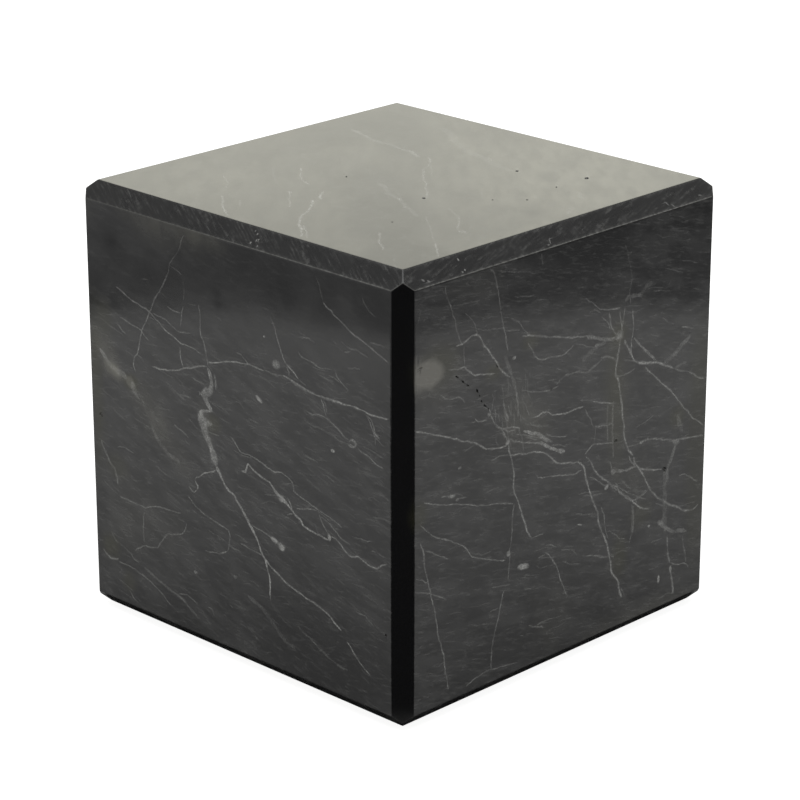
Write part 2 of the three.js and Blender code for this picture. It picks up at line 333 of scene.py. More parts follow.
# %% Veins of the front face
FRONT_VEINS = [
    (0.50, 0.38, [(-14.8, 45), (-15.7, 43), (-16, 41.8), (-17.3, 40), (-19.5, 37.5), (-20, 35.5),
        (-21.5, 33), (-23, 30.5), (-24.6, 28.5), (-25.8, 26), (-26.6, 24.8), (-29.2, 20.2), (-29.9, 17.5),
        (-30.6, 14.8), (-32, 13.3), (-32.3, 11.5), (-31.6, 10)]),
    (0.50, 0.45, [(-37.5, 28.3), (-34.8, 27.5), (-32, 26.2), (-29, 25.7), (-26.3, 25.1), (-21.5, 22.2),
        (-16.5, 20.3), (-13, 20.2), (-10, 19.5)]),
    (0.50, 0.25, [(-25.5, 24.9), (-21.3, 24.7), (-19.5, 23.6), (-17.5, 22.8), (-13, 23.3)]),
    (0.50, 0.45, [(-36.5, 21.6), (-33.5, 21), (-31, 20.6), (-29.3, 20.1), (-28.3, 19.2), (-26.8, 18.5)]),
    (0.50, 0.35, [(-37.3, 20), (-36, 18.8), (-34.5, 18)]),
    (0.60, 0.50, [(-16.9, 19.6), (-16.6, 17), (-16, 15)]),
    (0.60, 0.30, [(-16.2, 14.8), (-13, 15.7), (-10, 16.7), (-8.4, 17)]),
    (0.50, 0.50, [(-6.2, 16.2), (-5.7, 14.8), (-5.8, 13), (-5.6, 12.3)]),
    (0.60, 0.50, [(-11.3, 10.7), (-10, 10.2), (-8.8, 10)]),
    (0.60, 0.60, [(-11.4, 6.2), (-9, 6.9), (-6.6, 7.3)]),
    (0.60, 0.60, [(-10.5, 5.4), (-8.6, 4.7), (-6.8, 4.1)]),
    (0.50, 0.60, [(-9.8, 2.4), (-8.6, 1), (-7.8, -1), (-7.4, -3)]),
    (0.90, 0.32, [(17.5, 20.5), (20, 19.8), (22, 19.3), (26, 19.1), (30, 19), (34, 19.2)]),
    (0.50, 0.40, [(26.3, 18.9), (27, 17.6), (27.6, 16.2), (28.1, 15.2)]),
    (0.50, 0.35, [(28, 15), (30, 14), (32, 12.8), (33.6, 12)]),
    (0.50, 0.40, [(34.4, 11.4), (35.2, 12), (36.2, 11.8), (36.6, 11), (35.8, 10.4), (34.8, 10.4),
        (34.3, 11)]),
    (0.50, 0.35, [(39.6, 18.5), (40.8, 17.2), (41.5, 15.5), (42.2, 14.2), (43.4, 13.6)]),
    (0.50, 0.25, [(42, 14.4), (42.1, 12.4)]),
    (0.60, 0.60, [(-26.3, 12.7), (-23.5, 12.8), (-20.5, 13.1), (-18, 13.8), (-16, 14.7), (-13, 15.7),
        (-10, 16.7), (-8.2, 17.1)]),
    (1.40, 0.42, [(-8.3, 17, 0.9), (-7.2, 15, 1.3), (-6.8, 13, 1.5), (-7.5, 11.6, 2.2), (-9.3, 10.6, 3.4),
        (-8.8, 9.2, 2), (-6.9, 7.4, 1)]),
    (1.40, 0.42, [(-6.7, 7.4, 0.6), (-10.3, 6.6, 1.2), (-10.7, 5, 2.2), (-9.9, 3.6, 3), (-9.4, 2, 2.8),
        (-8.5, 0.4, 1.9), (-7.6, -1.2, 1.3), (-6.6, -3, 3), (-6, -5, 1.5)]),
    (1.40, 0.40, [(-9.9, 3.9, 2.2), (-6.9, 4, 0.5)]),
    (0.50, 0.45, [(-10.4, 10.5), (-11, 9.8)]),
    (0.80, 0.60, [(-6.1, -5, 1.1), (-5, -6.3, 0.9), (-3.2, -8.8), (-2.3, -9.6), (-0.5, -10.3),
        (1.8, -12.5), (2.8, -14), (4, -15.2), (6.2, -18, 0.7), (7.5, -20.5, 0.6), (8, -21.3, 0.7),
        (9.1, -22.6, 0.6), (9.8, -25, 0.5), (10.4, -26.8, 0.5), (10.2, -29.5, 0.4), (10.5, -31.5, 0.3)]),
    (0.75, 0.60, [(8, -21.4), (10.5, -23.4), (13, -24.7), (15, -25.7), (17, -26.3), (19, -26.8),
        (21.5, -27.5), (24, -27.8), (26, -28.4), (28, -29.3), (30, -30.5), (32, -31.7)]),
    (0.60, 0.48, [(33.5, -33.5), (35, -34.9), (37, -36.8), (38.5, -38), (40.5, -39.3)]),
    (0.60, 0.62, [(-13, -10.1), (-12.6, -9.5), (-11.2, -8.8), (-10.2, -7.8), (-9.5, -7.4), (-8, -6.8),
        (-6.2, -5.9)]),
    (0.60, 0.62, [(-13, -10), (-12.8, -10.6), (-12, -11.4), (-12.4, -12.3)]),
    (0.60, 0.60, [(-15.1, -12), (-14.4, -12.7), (-13.4, -13), (-12.4, -12.2)]),
    (0.50, 0.38, [(-15.5, -14.5), (-13, -16.2), (-10.5, -17.3), (-8.5, -17.6), (-6.5, -18.2), (-4, -18.6),
        (-2.6, -18.8), (-1.9, -20), (-2.3, -21.5), (-2.5, -22.8), (-3, -24)]),
    (0.50, 0.38, [(-10.5, -26), (-8, -25.6), (-5.5, -25.2), (-4, -24.5), (-2.9, -23.9)]),
    (0.50, 0.40, [(-38.5, -21), (-36, -21.1), (-33, -21.3), (-30, -21.3), (-27.5, -20.5), (-25, -19.9),
        (-22, -19.7), (-17.8, -19.2)]),
    (0.50, 0.30, [(-30.3, -22.5), (-30.6, -26), (-30.6, -28), (-30.4, -29.8)]),
    (0.50, 0.30, [(-33.5, -33), (-33, -32), (-31, -30.8), (-28, -30.4), (-25.8, -29.8), (-25, -28.3),
        (-24, -27), (-22.5, -25.6), (-20, -25), (-17.5, -24), (-16.5, -22.5), (-16.2, -21)]),
    (0.70, 0.45, [(-45, -35.6), (-43.5, -36.5), (-42, -37.2), (-40.5, -37), (-39.5, -36.3)]),
    (0.50, 0.25, [(-42, -30.5), (-40.5, -32), (-39.3, -33)]),
    (0.50, 0.40, [(-35.5, -34), (-34, -35), (-32.3, -35.6)]),
    (0.50, 0.30, [(-39.5, -37.2), (-36, -37.2), (-33.8, -37.4), (-32.5, -37.8), (-29, -38.8), (-26, -40),
        (-22, -42.5)]),
    (0.90, 0.25, [(-31, -36), (-27, -37.3), (-24, -38.3), (-20, -39.3), (-17.5, -40.2), (-15.5, -41.5),
        (-13.3, -42.5)]),
    (0.50, 0.25, [(-19.5, -38.8), (-16.5, -38.4), (-14.5, -39), (-13, -39.6)]),
    (0.50, 0.25, [(-9.8, -39.2), (-8.5, -39.2), (-7.5, -40.3)]),
    (0.50, 0.25, [(-36.3, -43), (-35, -44.5), (-33, -45.5)]),
    (0.80, 0.32, [(-44.3, -9), (-43.5, -10.5), (-42.5, -12.3), (-41.3, -13.8), (-39.8, -14.8),
        (-39, -16.5), (-38.8, -18.5)]),
    (1.60, 0.28, [(-43.8, 12.8, 0.8), (-42, 11.2, 1.4), (-40.6, 9.8, 1.8), (-39.6, 9.2, 1),
        (-38, 8.8, 1.6), (-36, 8.4, 2), (-34.6, 7.6, 1.2)]),
    (1.20, 0.22, [(-33, 7.6, 1.6), (-32.4, 6, 2), (-31.6, 4.6, 1.2), (-30.4, 3.8, 0.6)]),
    (0.90, 0.20, [(-32.5, 6.4), (-31, 5.5), (-29, 3.3)]),
    (1.20, 0.14, [(-27, -1), (-26.2, -2.2), (-25.3, -3.8), (-24, -5), (-21.5, -6.5), (-17.5, -7.5)]),
    (0.50, 0.20, [(-39, -9.3), (-36, -8.8), (-33, -9.3)]),
    (0.50, 0.35, [(-10.6, 30.5), (-10.2, 28.5), (-10.2, 26), (-10, 23.5), (-9, 22.2), (-8.7, 20.5),
        (-8.2, 18.5), (-8, 17.2)]),
    (0.55, 0.55, [(-7.8, 18.1), (-5, 18.8), (-2, 19.8), (1, 20.3), (4.5, 20.8), (9.5, 20.6)]),
    (0.50, 0.20, [(9.5, 20.6), (12, 20.5), (15, 20.8)]),
    (0.60, 0.62, [(15, 20.8), (17, 20.6), (19.5, 20.2), (21.5, 19.7), (24, 19.3), (27, 19.1), (32, 19.2),
        (35.5, 19.4), (39, 19.2), (41, 18.7), (46, 19.3)]),
    (0.50, 0.30, [(1, 22.5), (2.5, 22.3), (4, 21.3), (4.8, 20.6)]),
    (0.50, 0.35, [(11.5, 33), (12.5, 31.5), (13.3, 29.4), (14.2, 27.5), (14.8, 25.8), (15.5, 24.5),
        (16.2, 23.7)]),
    (0.50, 0.45, [(16.2, 23.7), (17.8, 22.9), (19, 22), (20, 21)]),
    (0.50, 0.40, [(16.3, 23.3), (17, 22), (17.2, 21)]),
    (0.50, 0.25, [(25, 44.8), (26.3, 43), (26.8, 41.5), (27.3, 40)]),
    (0.60, 0.64, [(27.3, 40), (28.5, 38.8), (30.3, 37.8), (33, 36.4), (36, 34.9), (39, 33.9), (41.5, 33),
        (44.5, 31.8), (46, 31.2)]),
    (0.50, 0.40, [(40.5, 34.2), (43, 34.3), (46, 34.4)]),
    (0.50, 0.25, [(38.5, 43.3), (39.3, 42), (40.5, 40.8), (42.5, 40)]),
    (0.50, 0.30, [(33.8, 32), (35.2, 31.5), (37.5, 31.7), (40.2, 30.8)]),
    (0.50, 0.30, [(33.3, 30.6), (35.3, 31)]),
    (0.50, 0.30, [(20.8, 30.4), (22, 30.8), (23.8, 31)]),
    (0.50, 0.35, [(19.8, 27.3), (20.5, 26.5), (22, 26.1), (24.5, 25.7), (26.5, 25.2)]),
    (0.50, 0.35, [(30.8, 25.7), (31.3, 24.7), (32.5, 23.7), (33.7, 22.9), (34.5, 22.3)]),
    (0.50, 0.30, [(36, 27.8), (38, 27.8)]),
    (0.50, 0.35, [(27, 18.7), (27.9, 17.5), (28.2, 15.7)]),
    (0.50, 0.35, [(22, 14.8), (24, 14.5), (26, 15), (28, 14.8), (30, 13.9), (31.5, 13.2), (33, 12.3),
        (34.5, 11.6)]),
    (0.45, 0.40, [(34.6, 11.3), (35.2, 12), (36.3, 12), (37, 11.3), (36.4, 10.6), (35.3, 10.5),
        (34.6, 11.1)]),
    (0.50, 0.35, [(37, 10.8), (37.5, 10.3), (40, 9.7), (42, 8.8), (44.5, 8)]),
    (0.60, 0.40, [(39.9, 18.6), (41.2, 17.5), (41.8, 16.3), (42.3, 15), (43.5, 14.1)]),
    (0.50, 0.40, [(-1.5, 3), (0, 2), (1.2, 0.8), (2, 0.3), (4.5, 0.3), (6.5, 0.1), (9, -0.4), (10, -1),
        (12, -1.4), (14.5, -1), (16.3, -1.5), (17.6, -2.2), (18.2, -4), (19.5, -4.7), (22, -5.2),
        (23.5, -5.8), (26, -6.4), (30, -7.3), (32.5, -8.2)]),
    (0.60, 0.52, [(1.8, -4), (3.3, -3.7), (4, -1.6), (5, -2.2), (6.5, -3), (9, -3.9), (10.8, -4.1),
        (12, -5.3), (13, -6, 1.2), (14, -6.8, 1.8), (15, -7.1, 1.2), (16, -7.5), (17.2, -8.5),
        (18.3, -9.3), (20, -10), (20.8, -11), (23, -11.5, 0.6), (26, -11.9, 0.6), (28.3, -12.2)]),
    (0.50, 0.45, [(15.7, -10), (17.8, -9.2)]),
    (0.50, 0.45, [(16, -6), (17, -7.5), (17.8, -9)]),
    (0.50, 0.40, [(18.7, -7.9), (20.5, -7.4), (23, -6.9), (25, -6.3)]),
    (0.50, 0.35, [(25.7, -7), (26.3, -8.5), (27.5, -10), (28.5, -10.9)]),
    (0.50, 0.35, [(26, -7.5), (28.5, -8.3), (30, -9.3), (31.5, -10.4), (32.5, -10.9), (35, -11.3)]),
    (0.60, 0.55, [(29, -11), (30.5, -11.2), (32, -12), (33.5, -13.2), (35.3, -14), (37, -13.3), (39, -14),
        (41, -14.4), (42.5, -14.3), (43.7, -13.4), (45.5, -12.5)]),
    (0.50, 0.20, [(35, -9.3), (38.5, -9.1), (41, -8.8)]),
    (0.50, 0.20, [(42.5, -10.8), (45, -11.3)]),
    (0.50, 0.35, [(1, -20.8), (4, -21.3), (7, -21.3), (8, -21.6)]),
    (0.50, 0.20, [(0, -19), (3.5, -19.8)]),
    (0.50, 0.20, [(-9, -20.6), (-6, -21.3), (-3.5, -21.8)]),
    (0.50, 0.20, [(-1.8, -22.8), (1, -22.7)]),
    (0.80, 0.18, [(18.5, -34.5), (19.5, -35.3), (22, -36.3), (25, -37.7), (28, -39), (31, -40),
        (34, -40.2)]),
    (1.20, 0.11, [(3, -32.3), (8, -34.2), (10.5, -36), (12.5, -37.8), (15, -39.5), (18, -40.2)]),
    (0.50, 0.25, [(21.3, 4.8), (23, 4.7), (25.5, 4.2)]),
    (0.50, 0.25, [(28, 2.3), (30.5, 1.2)]),
    (0.50, 0.25, [(43, 2.5), (46, 1.5)]),
    (0.50, 0.25, [(-19.5, 1), (-17, 0.3), (-14.5, -1)]),
    (0.50, 0.25, [(-18.5, 8.4), (-16.5, 8.6), (-13.5, 8.5)]),
    (0.50, 0.35, [(-20.8, 27.6), (-18, 27.2), (-16, 27.2)]),
    (0.50, 0.30, [(-15.5, 29), (-15.8, 27), (-16.3, 25), (-16.6, 24)]),
    (0.50, 0.30, [(-19.7, 37.2), (-17.5, 36.5), (-15.5, 35.8)]),
    (0.50, 0.15, [(-15.4, 35), (-15, 33), (-15.3, 30)]),
    (0.50, 0.35, [(-5.8, 16), (-5.4, 14.5), (-5.3, 12.8)]),
    (0.50, 0.30, [(-13.3, 13.4), (-10.5, 12.9), (-9.3, 12.9)]),
    (0.50, 0.40, [(4.5, -15.5), (8, -15.9), (10.5, -16.6), (12, -17.2)]),
]
print(len(FRONT_VEINS), "veins on the front face")

# %% Veins of the right face
RIGHT_VEINS = [
    (0.60, 0.48, [(-37, 27.5), (-34.5, 27.1), (-32, 26.8), (-31.3, 26), (-30.5, 25.2), (-29.7, 24.6),
        (-28, 24.1), (-25, 23.6), (-22.8, 23.2)]),
    (0.50, 0.38, [(-38, 45.5), (-37.5, 43), (-36, 40.5), (-35.2, 38.5), (-34.8, 36), (-34, 34),
        (-33.2, 32.5), (-32.7, 31.8)]),
    (0.70, 0.60, [(-34.8, 32), (-32.7, 31.8), (-31.5, 32.5), (-30, 33.1), (-28.6, 33), (-27.7, 32.3),
        (-27, 31.2), (-26, 29.8), (-25, 28.7), (-24, 27.4), (-23.2, 26.3), (-22.3, 25), (-21.5, 23.9),
        (-20.5, 22.8), (-19.3, 21.9), (-18.2, 21.1)]),
    (0.50, 0.35, [(-32.2, 38.5), (-31, 37.5), (-29.7, 36), (-29, 34.5), (-28.3, 33.2)]),
    (0.50, 0.20, [(-32.5, 31.5), (-32.4, 29), (-32, 27)]),
    (0.70, 0.40, [(-24.8, 46), (-23.5, 45), (-23, 43), (-22.4, 41), (-21.9, 38.5), (-21.4, 36.5),
        (-21, 34.5), (-20.6, 33), (-20.1, 31), (-19.6, 29), (-19.2, 27)]),
    (0.50, 0.25, [(-22, 45), (-18, 43.8), (-14, 43), (-11, 42)]),
    (0.50, 0.30, [(-17.5, 38.3), (-14, 37.7), (-11, 37.1)]),
    (0.50, 0.20, [(-34.5, 40.5), (-31, 40.3), (-27.5, 40)]),
    (0.50, 0.35, [(-20.5, 34.8), (-18, 33.8), (-16, 32.6), (-15, 31.2), (-13.5, 29.8), (-12.5, 29.2)]),
    (0.50, 0.35, [(-20.3, 31.9), (-18, 31.3), (-15.5, 30.7)]),
    (0.70, 0.45, [(-15, 29.3), (-12.5, 28.9), (-10, 28.1), (-6, 27), (-2, 25.9), (1, 25), (5.5, 24.4),
        (8, 23.3), (10, 22.5), (13, 22), (15.5, 21.7)]),
    (0.60, 0.38, [(-13, 27.5), (-12, 26), (-11, 24.3), (-10, 23), (-8.5, 22.4), (-6, 22.4), (-3.5, 22),
        (-1.5, 22), (0.5, 22.8), (1.5, 23.5)]),
    (0.50, 0.40, [(-24.5, 16), (-24.2, 14.5), (-23.5, 13.3), (-22.8, 12), (-21.5, 11), (-20.5, 10),
        (-19.7, 8.8), (-19, 7.5), (-18.3, 6.8)]),
    (0.50, 0.30, [(-39.2, 22.8), (-37.8, 21.5), (-36, 21), (-34, 20.8), (-32.7, 20), (-31.8, 19)]),
    (0.60, 0.55, [(-46.5, 16.7), (-43.5, 15.5), (-40, 14.1), (-36, 12.5), (-32.5, 10.9), (-29.5, 9.8),
        (-27.5, 8.6), (-26, 7.4), (-24, 6.9), (-21, 6.3), (-19, 6.1)]),
    (0.50, 0.35, [(-29, 15), (-28, 14), (-26.5, 13.5), (-25, 13.3)]),
    (0.70, 0.50, [(-18.5, 6.5), (-18.3, 5), (-18, 3.8), (-17.5, 2.5), (-17, 1), (-16.8, -1), (-16.9, -2.5),
        (-17, -3.8), (-16.5, -5.2), (-15.6, -6.7), (-14.9, -8.5), (-14.2, -10.5), (-13.2, -12.8),
        (-12.3, -14.8), (-11.3, -16.5), (-10.8, -17)]),
    (0.50, 0.35, [(-10.8, -17), (-9.5, -17.2), (-7, -17.1)]),
    (0.50, 0.35, [(-16.5, -7.5), (-16.9, -9.5), (-17.1, -12.5), (-17.3, -15.5), (-17.8, -17.5),
        (-17.5, -19.5), (-18, -22), (-18.2, -24.5)]),
    (0.60, 0.35, [(-19.3, -26.5), (-20, -28), (-20.6, -30), (-21, -32), (-21.7, -34), (-22.5, -36.5),
        (-23, -38.5), (-23, -41), (-23.1, -43.5)]),
    (0.50, 0.25, [(-24, -30.2), (-21, -29.9)]),
    (0.50, 0.30, [(-31, -45), (-28.5, -44), (-25, -43.6), (-22.5, -43.7), (-19, -44), (-15, -44.8)]),
    (0.50, 0.35, [(-44, 0.5), (-40, -1), (-36, -2.3), (-32, -3.2), (-29, -4.3), (-26, -5.2), (-22, -6),
        (-19, -6.8), (-16.8, -7.5)]),
    (0.50, 0.45, [(-39, 0.5), (-36, -0.2), (-34.5, -0.5)]),
    (0.50, 0.40, [(-34, -1.5), (-31, -1.7)]),
    (0.50, 0.35, [(-45, -4), (-43, -6), (-41.3, -7.6), (-39, -8.7), (-36.5, -9.9), (-34, -11.3),
        (-32, -12.7), (-30.5, -14), (-29.5, -15.8), (-27, -16.8), (-24, -18), (-21.5, -19),
        (-19, -19.6)]),
    (0.50, 0.30, [(-43.5, -10.2), (-41, -11.5), (-39.5, -12.5), (-36.5, -14)]),
    (0.60, 0.40, [(-45, -8), (-44.2, -10), (-43.7, -12.5), (-43.3, -15), (-42.7, -17), (-42, -19.5),
        (-41.5, -21.5), (-40.8, -23.8), (-40.2, -26), (-39.8, -28.5), (-39.3, -31), (-38.6, -33),
        (-38, -35.3), (-37.6, -37.5), (-37.2, -40), (-36.8, -42), (-36.6, -44)]),
    (0.50, 0.35, [(-46.3, -15.7), (-44.5, -16.3), (-43, -17.5), (-42.2, -18.2)]),
    (0.50, 0.30, [(-46.5, -18.5), (-44, -19.5), (-42.3, -20), (-40, -21.3), (-37, -23)]),
    (0.50, 0.25, [(-6.5, -20), (-4.5, -20.5), (-3, -21.3)]),
    (0.50, 0.25, [(-9, -22.3), (-6.5, -22)]),
    (0.50, 0.38, [(-6.5, -21.6), (-5.5, -22.3), (-4.5, -23.5), (-3.3, -25.2), (-2.3, -27), (-1.6, -28.8),
        (-0.7, -30.8), (0.2, -32.8), (1, -34.3)]),
    (0.50, 0.35, [(-11.5, -37), (-10, -37.8), (-8.5, -38.3), (-6.5, -39)]),
    (0.50, 0.30, [(-9, -38), (-7.5, -37.6), (-6.3, -37.9)]),
    (0.50, 0.30, [(-14.3, -38.5), (-12.8, -39.2)]),
    (0.50, 0.25, [(-13, -28.2), (-11, -28.8), (-9.5, -28.6)]),
    (0.70, 0.45, [(-14.1, 8.3), (-11.2, 6.8, 1.1), (-9, 6.1, 1), (-6.9, 4.3, 0.9), (-4.7, 3.2)]),
    (1.00, 0.50, [(-10.5, 4.4, 0.6), (-8.3, 3.9, 0.9), (-6.5, 2.5), (-4.7, 1.6), (-2.9, 0.7, 1.2),
        (-0.5, -0.1)]),
    (0.60, 0.38, [(-17.7, 6.8), (-14.4, 5.7), (-11.9, 5), (-10.1, 4.3)]),
    (0.60, 0.35, [(-22.8, 11.5), (-20.6, 10.4), (-17.7, 10.1), (-14.8, 9)]),
    (0.60, 0.38, [(-20.6, 9.7), (-19.1, 7.9), (-17.7, 7.2), (-16.3, 6.1)]),
    (0.50, 0.28, [(-6.9, 5.7), (-4.7, 4.3), (-1.8, 3.6), (0, 3.2)]),
    (0.50, 0.25, [(-5, 2.6), (-2.5, 1.8), (0, 0.8)]),
    (0.50, 0.25, [(-16.5, 8.2), (-13.5, 7.1), (-11, 5.9), (-8.5, 4.9), (-6, 3.3)]),
    (0.50, 0.25, [(-13.5, 6.4), (-11.3, 5.7), (-8.8, 4.5)]),
    (0.50, 0.28, [(-21.3, 10.8), (-18.8, 9.4), (-16.4, 8.9)]),
    (0.50, 0.30, [(-20.2, 14.8), (-19.5, 12.2), (-18.6, 11.3)]),
    (0.50, 0.30, [(-18.8, 15.3), (-17.9, 12.6)]),
    (0.50, 0.25, [(-21.8, 14), (-21.4, 12)]),
    (0.50, 0.28, [(-12.2, 9.6), (-10.8, 8.4)]),
    (0.60, 0.58, [(-18.3, 3.7), (-15.5, 3.3), (-13, 2.7), (-10, 2.4), (-8, 1.8), (-6.5, 0.7), (-5, -0.5),
        (-3.5, -1.7), (-2, -2.6), (0, -3), (3, -3.6), (5, -4.3)]),
    (0.60, 0.62, [(-11, 10.4), (-9.5, 10.3), (-8, 10.6), (-6.5, 10.5), (-5, 9.4), (-3, 8.9), (-1, 8.6),
        (2, 8.6), (5, 8.6)]),
    (0.60, 0.55, [(8, 8.9), (10, 8.2), (12, 7.5), (14.8, 6.8)]),
    (0.50, 0.30, [(5.5, 8), (6.2, 6.5), (7.5, 5.2), (8, 3.8), (8.6, 3.1)]),
    (0.50, 0.35, [(8.6, 3.1), (11, 2.6), (13, 2.2), (15, 2.4)]),
    (0.50, 0.20, [(9, 2.8), (9, 0.5), (8.8, -1)]),
    (0.50, 0.40, [(5.7, -2.6), (7, -1.7), (8.5, -1), (9.5, -1.2), (12, -1.8), (15, -2.4)]),
    (0.50, 0.40, [(-10, -3), (-9.5, -3.7), (-7, -4.3), (-3, -4.9), (0, -5.7), (2.5, -6.1), (5, -5.9)]),
    (0.80, 0.55, [(3.5, -3.5), (4.8, -4.5), (5.8, -6), (6.3, -8), (7, -10), (7.8, -12), (8.5, -13.8),
        (9.5, -15.7), (10.5, -17.2), (10.8, -19), (11.3, -20.7), (12.2, -22.5), (13.2, -24.5), (14, -26.5),
        (14.8, -28.5), (15.2, -30.5), (15.4, -32.5), (16.3, -34), (17.5, -35.5), (18.1, -37),
        (18.5, -38.7), (19.2, -40.3)]),
    (0.50, 0.35, [(18.9, -37.6), (19.5, -38.8), (20.2, -40)]),
    (0.50, 0.30, [(11.5, -16), (12.3, -18), (12.8, -20.5), (13.3, -22.5), (14.2, -25)]),
    (0.70, 0.40, [(15, -28.8), (16.3, -29.8)]),
    (0.50, 0.30, [(7, -26.5), (10, -27.3), (12.5, -28.4), (14.5, -29.2)]),
    (0.50, 0.25, [(14.5, -22.8), (16.3, -24), (18, -25.7), (20, -26.5)]),
    (0.50, 0.20, [(-1.5, -22.5), (2, -23.5), (4, -25.5)]),
    (0.70, 0.45, [(6, -3), (7.5, -4.5), (9, -7), (10.5, -8.8), (12, -10), (13.5, -11), (14.7, -12),
        (16.5, -13), (18, -15), (20, -16.6), (22, -18), (24, -19.7), (26, -20.8), (28, -21.9)]),
    (0.50, 0.35, [(7, -8), (9, -9), (11.5, -11), (14, -12.3)]),
    (0.50, 0.30, [(16, -12), (18, -14), (21, -16), (24, -17.5), (27, -19)]),
    (0.70, 0.45, [(12.7, 28), (13, 26.5), (13.5, 24.5), (14.5, 23), (15.5, 22)]),
    (0.50, 0.40, [(16.2, 27.5), (16.3, 25.5), (16.8, 24), (17, 22.5)]),
    (0.50, 0.40, [(17.8, 28), (17.5, 25.5), (17.1, 23.5)]),
    (0.50, 0.35, [(10, 27.5), (11.5, 26.3), (12.8, 25), (13.2, 24)]),
    (0.50, 0.35, [(4.8, 33), (6, 32.2), (7.5, 31), (9, 29.7), (11, 28.7), (13.5, 28.3), (16.5, 28)]),
    (0.50, 0.30, [(7.5, 29.8), (10, 28.3)]),
    (1.10, 0.30, [(5.5, 24.4), (9, 22.9), (12, 22), (16, 21.3)]),
    (0.80, 0.48, [(16.5, 21), (16.2, 19), (15.7, 17), (15.4, 15), (15.4, 13.3), (16.3, 11.5), (16.8, 9.5),
        (17.2, 7.5), (17.6, 5.5), (17.9, 3.5), (18.3, 1.5), (18.6, -0.5), (18.8, -2.5), (19.5, -4.2),
        (20.5, -6), (22, -7.3)]),
    (0.90, 0.60, [(17.8, 20.5), (18.7, 19), (19.8, 17.5), (20.7, 16), (21.5, 14.8), (23, 14), (25, 13.4),
        (27, 13.1), (29, 12.6), (31, 11.5), (33, 10.6), (35, 9.7)]),
    (0.60, 0.38, [(35, 9.7), (37, 8.6), (40, 7.8), (42, 6.5), (43.5, 5.3), (46, 4.5)]),
    (0.50, 0.45, [(20.5, 27), (20.5, 25), (20.8, 23), (20.7, 21), (20.2, 19.5), (20.6, 18)]),
    (0.50, 0.45, [(21, 20.3), (22.5, 18.8), (24, 17.3), (26, 15.8), (28, 13.8), (29, 12.8)]),
    (0.60, 0.48, [(25.2, 12.7), (26.3, 11.3), (28, 9.8), (30, 8), (32, 6.2), (34, 4.9), (35.5, 3.2),
        (37.3, 1.2), (39, -0.5), (40.5, -2), (42, -3.8), (44, -5), (46.3, -6.8)]),
    (0.50, 0.30, [(15.5, 12.8), (18, 12.3), (20, 12.6), (22, 13)]),
    (0.70, 0.40, [(10, 18.3), (12, 18.2), (13.5, 17.6), (15.4, 16.6)]),
    (0.70, 0.40, [(16, -9), (18, -9.6), (20, -10.1), (22.5, -10), (24, -10.7), (25, -11.2), (27, -12),
        (30, -12.9), (32, -13.3)]),
    (0.80, 0.45, [(22, -7.5), (22.5, -9.2), (24, -10.8), (25.3, -12.5), (26.3, -14.3), (27.5, -16),
        (28.3, -17.3), (29.7, -18.8), (31, -20), (33, -21.3), (35.5, -22.8), (38, -24.2), (40, -25.3),
        (42, -26.1), (43.5, -26.1), (45.5, -25.3)]),
    (0.50, 0.30, [(24.5, -17.7), (26, -17.5), (27.5, -16.8)]),
    (0.80, 0.35, [(22.3, -19), (22.5, -21.5), (22.6, -24), (22.5, -26)]),
    (0.80, 0.40, [(25, -4.8), (26.5, -4.7), (28, -5), (30, -5.6), (33, -6.5), (36, -7.5), (40, -8.1),
        (44, -8.7), (46.3, -9.1)]),
    (1.20, 0.20, [(36.5, -8.5), (35.8, -10), (35, -11.8), (34, -13), (33.8, -15), (33.8, -17)]),
    (1.00, 0.20, [(37.8, -3.5), (38.8, -5.5)]),
    (0.50, 0.25, [(38, -16.5), (40.5, -17), (42.5, -18.3), (44.5, -19.8)]),
    (1.20, 0.27, [(31, -25.5), (32.3, -26.5), (33.5, -27.2), (35, -28.5), (36.5, -29.5), (39, -30.1),
        (41.5, -30.8)]),
    (0.80, 0.35, [(34.5, -30), (34.8, -33), (35.2, -35.3), (36, -37)]),
    (0.50, 0.35, [(36, -37), (37.5, -37.9), (40, -38.4), (41.5, -38.7), (42.5, -40.2)]),
    (0.90, 0.30, [(36, -37.5), (36.3, -40), (37, -42.5), (37.4, -45)]),
    (0.80, 0.20, [(40, -31.5), (40.2, -33.5), (41, -36), (41.6, -38.5)]),
    (0.50, 0.20, [(28.5, -30), (33, -30)]),
    (0.50, 0.35, [(37, 18.7), (39, 18.2), (41.5, 17.4)]),
    (0.50, 0.25, [(32, 11.8), (34, 12.6), (36.5, 13.8)]),
    (0.50, 0.25, [(20, 30.3), (23, 29.4)]),
    (0.50, 0.20, [(30.7, 33.6), (34, 32.5), (37, 31.3)]),
    (0.50, 0.20, [(36.5, 34), (39, 33.5), (42, 32.4)]),
    (0.50, 0.15, [(35.5, 43), (39, 42.7), (44, 42.5)]),
    (0.80, 0.25, [(-9, 46), (-8.8, 43)]),
    (0.50, 0.20, [(-45, 42), (-45.5, 40), (-46, 38.5)]),
    (0.50, 0.30, [(-15, 17.3), (-12, 16.4), (-8.5, 15.4), (-5.5, 15.1), (-3, 15.2)]),
    (0.50, 0.35, [(-19.8, 15), (-19.3, 13), (-18.5, 11.5)]),
    (0.50, 0.25, [(-18.3, 13.8), (-18, 12.3)]),
    (0.50, 0.30, [(-16.3, 17.5), (-15.8, 15), (-15.4, 12)]),
    (0.50, 0.35, [(-14.3, 15), (-13.2, 13), (-12, 11)]),
    (0.80, 0.22, [(-17, 19), (-16.5, 17.5), (-16, 16)]),
    (0.50, 0.25, [(-23.2, 18.5), (-24, 15)]),
    (0.50, 0.25, [(-24, 4.3), (-20, 4.3), (-18.5, 4)]),
    (0.80, 0.50, [(3.7, -18.2), (5.5, -18.7)]),
    (0.50, 0.25, [(3, -15.5), (6, -16.5), (9, -17.2)]),
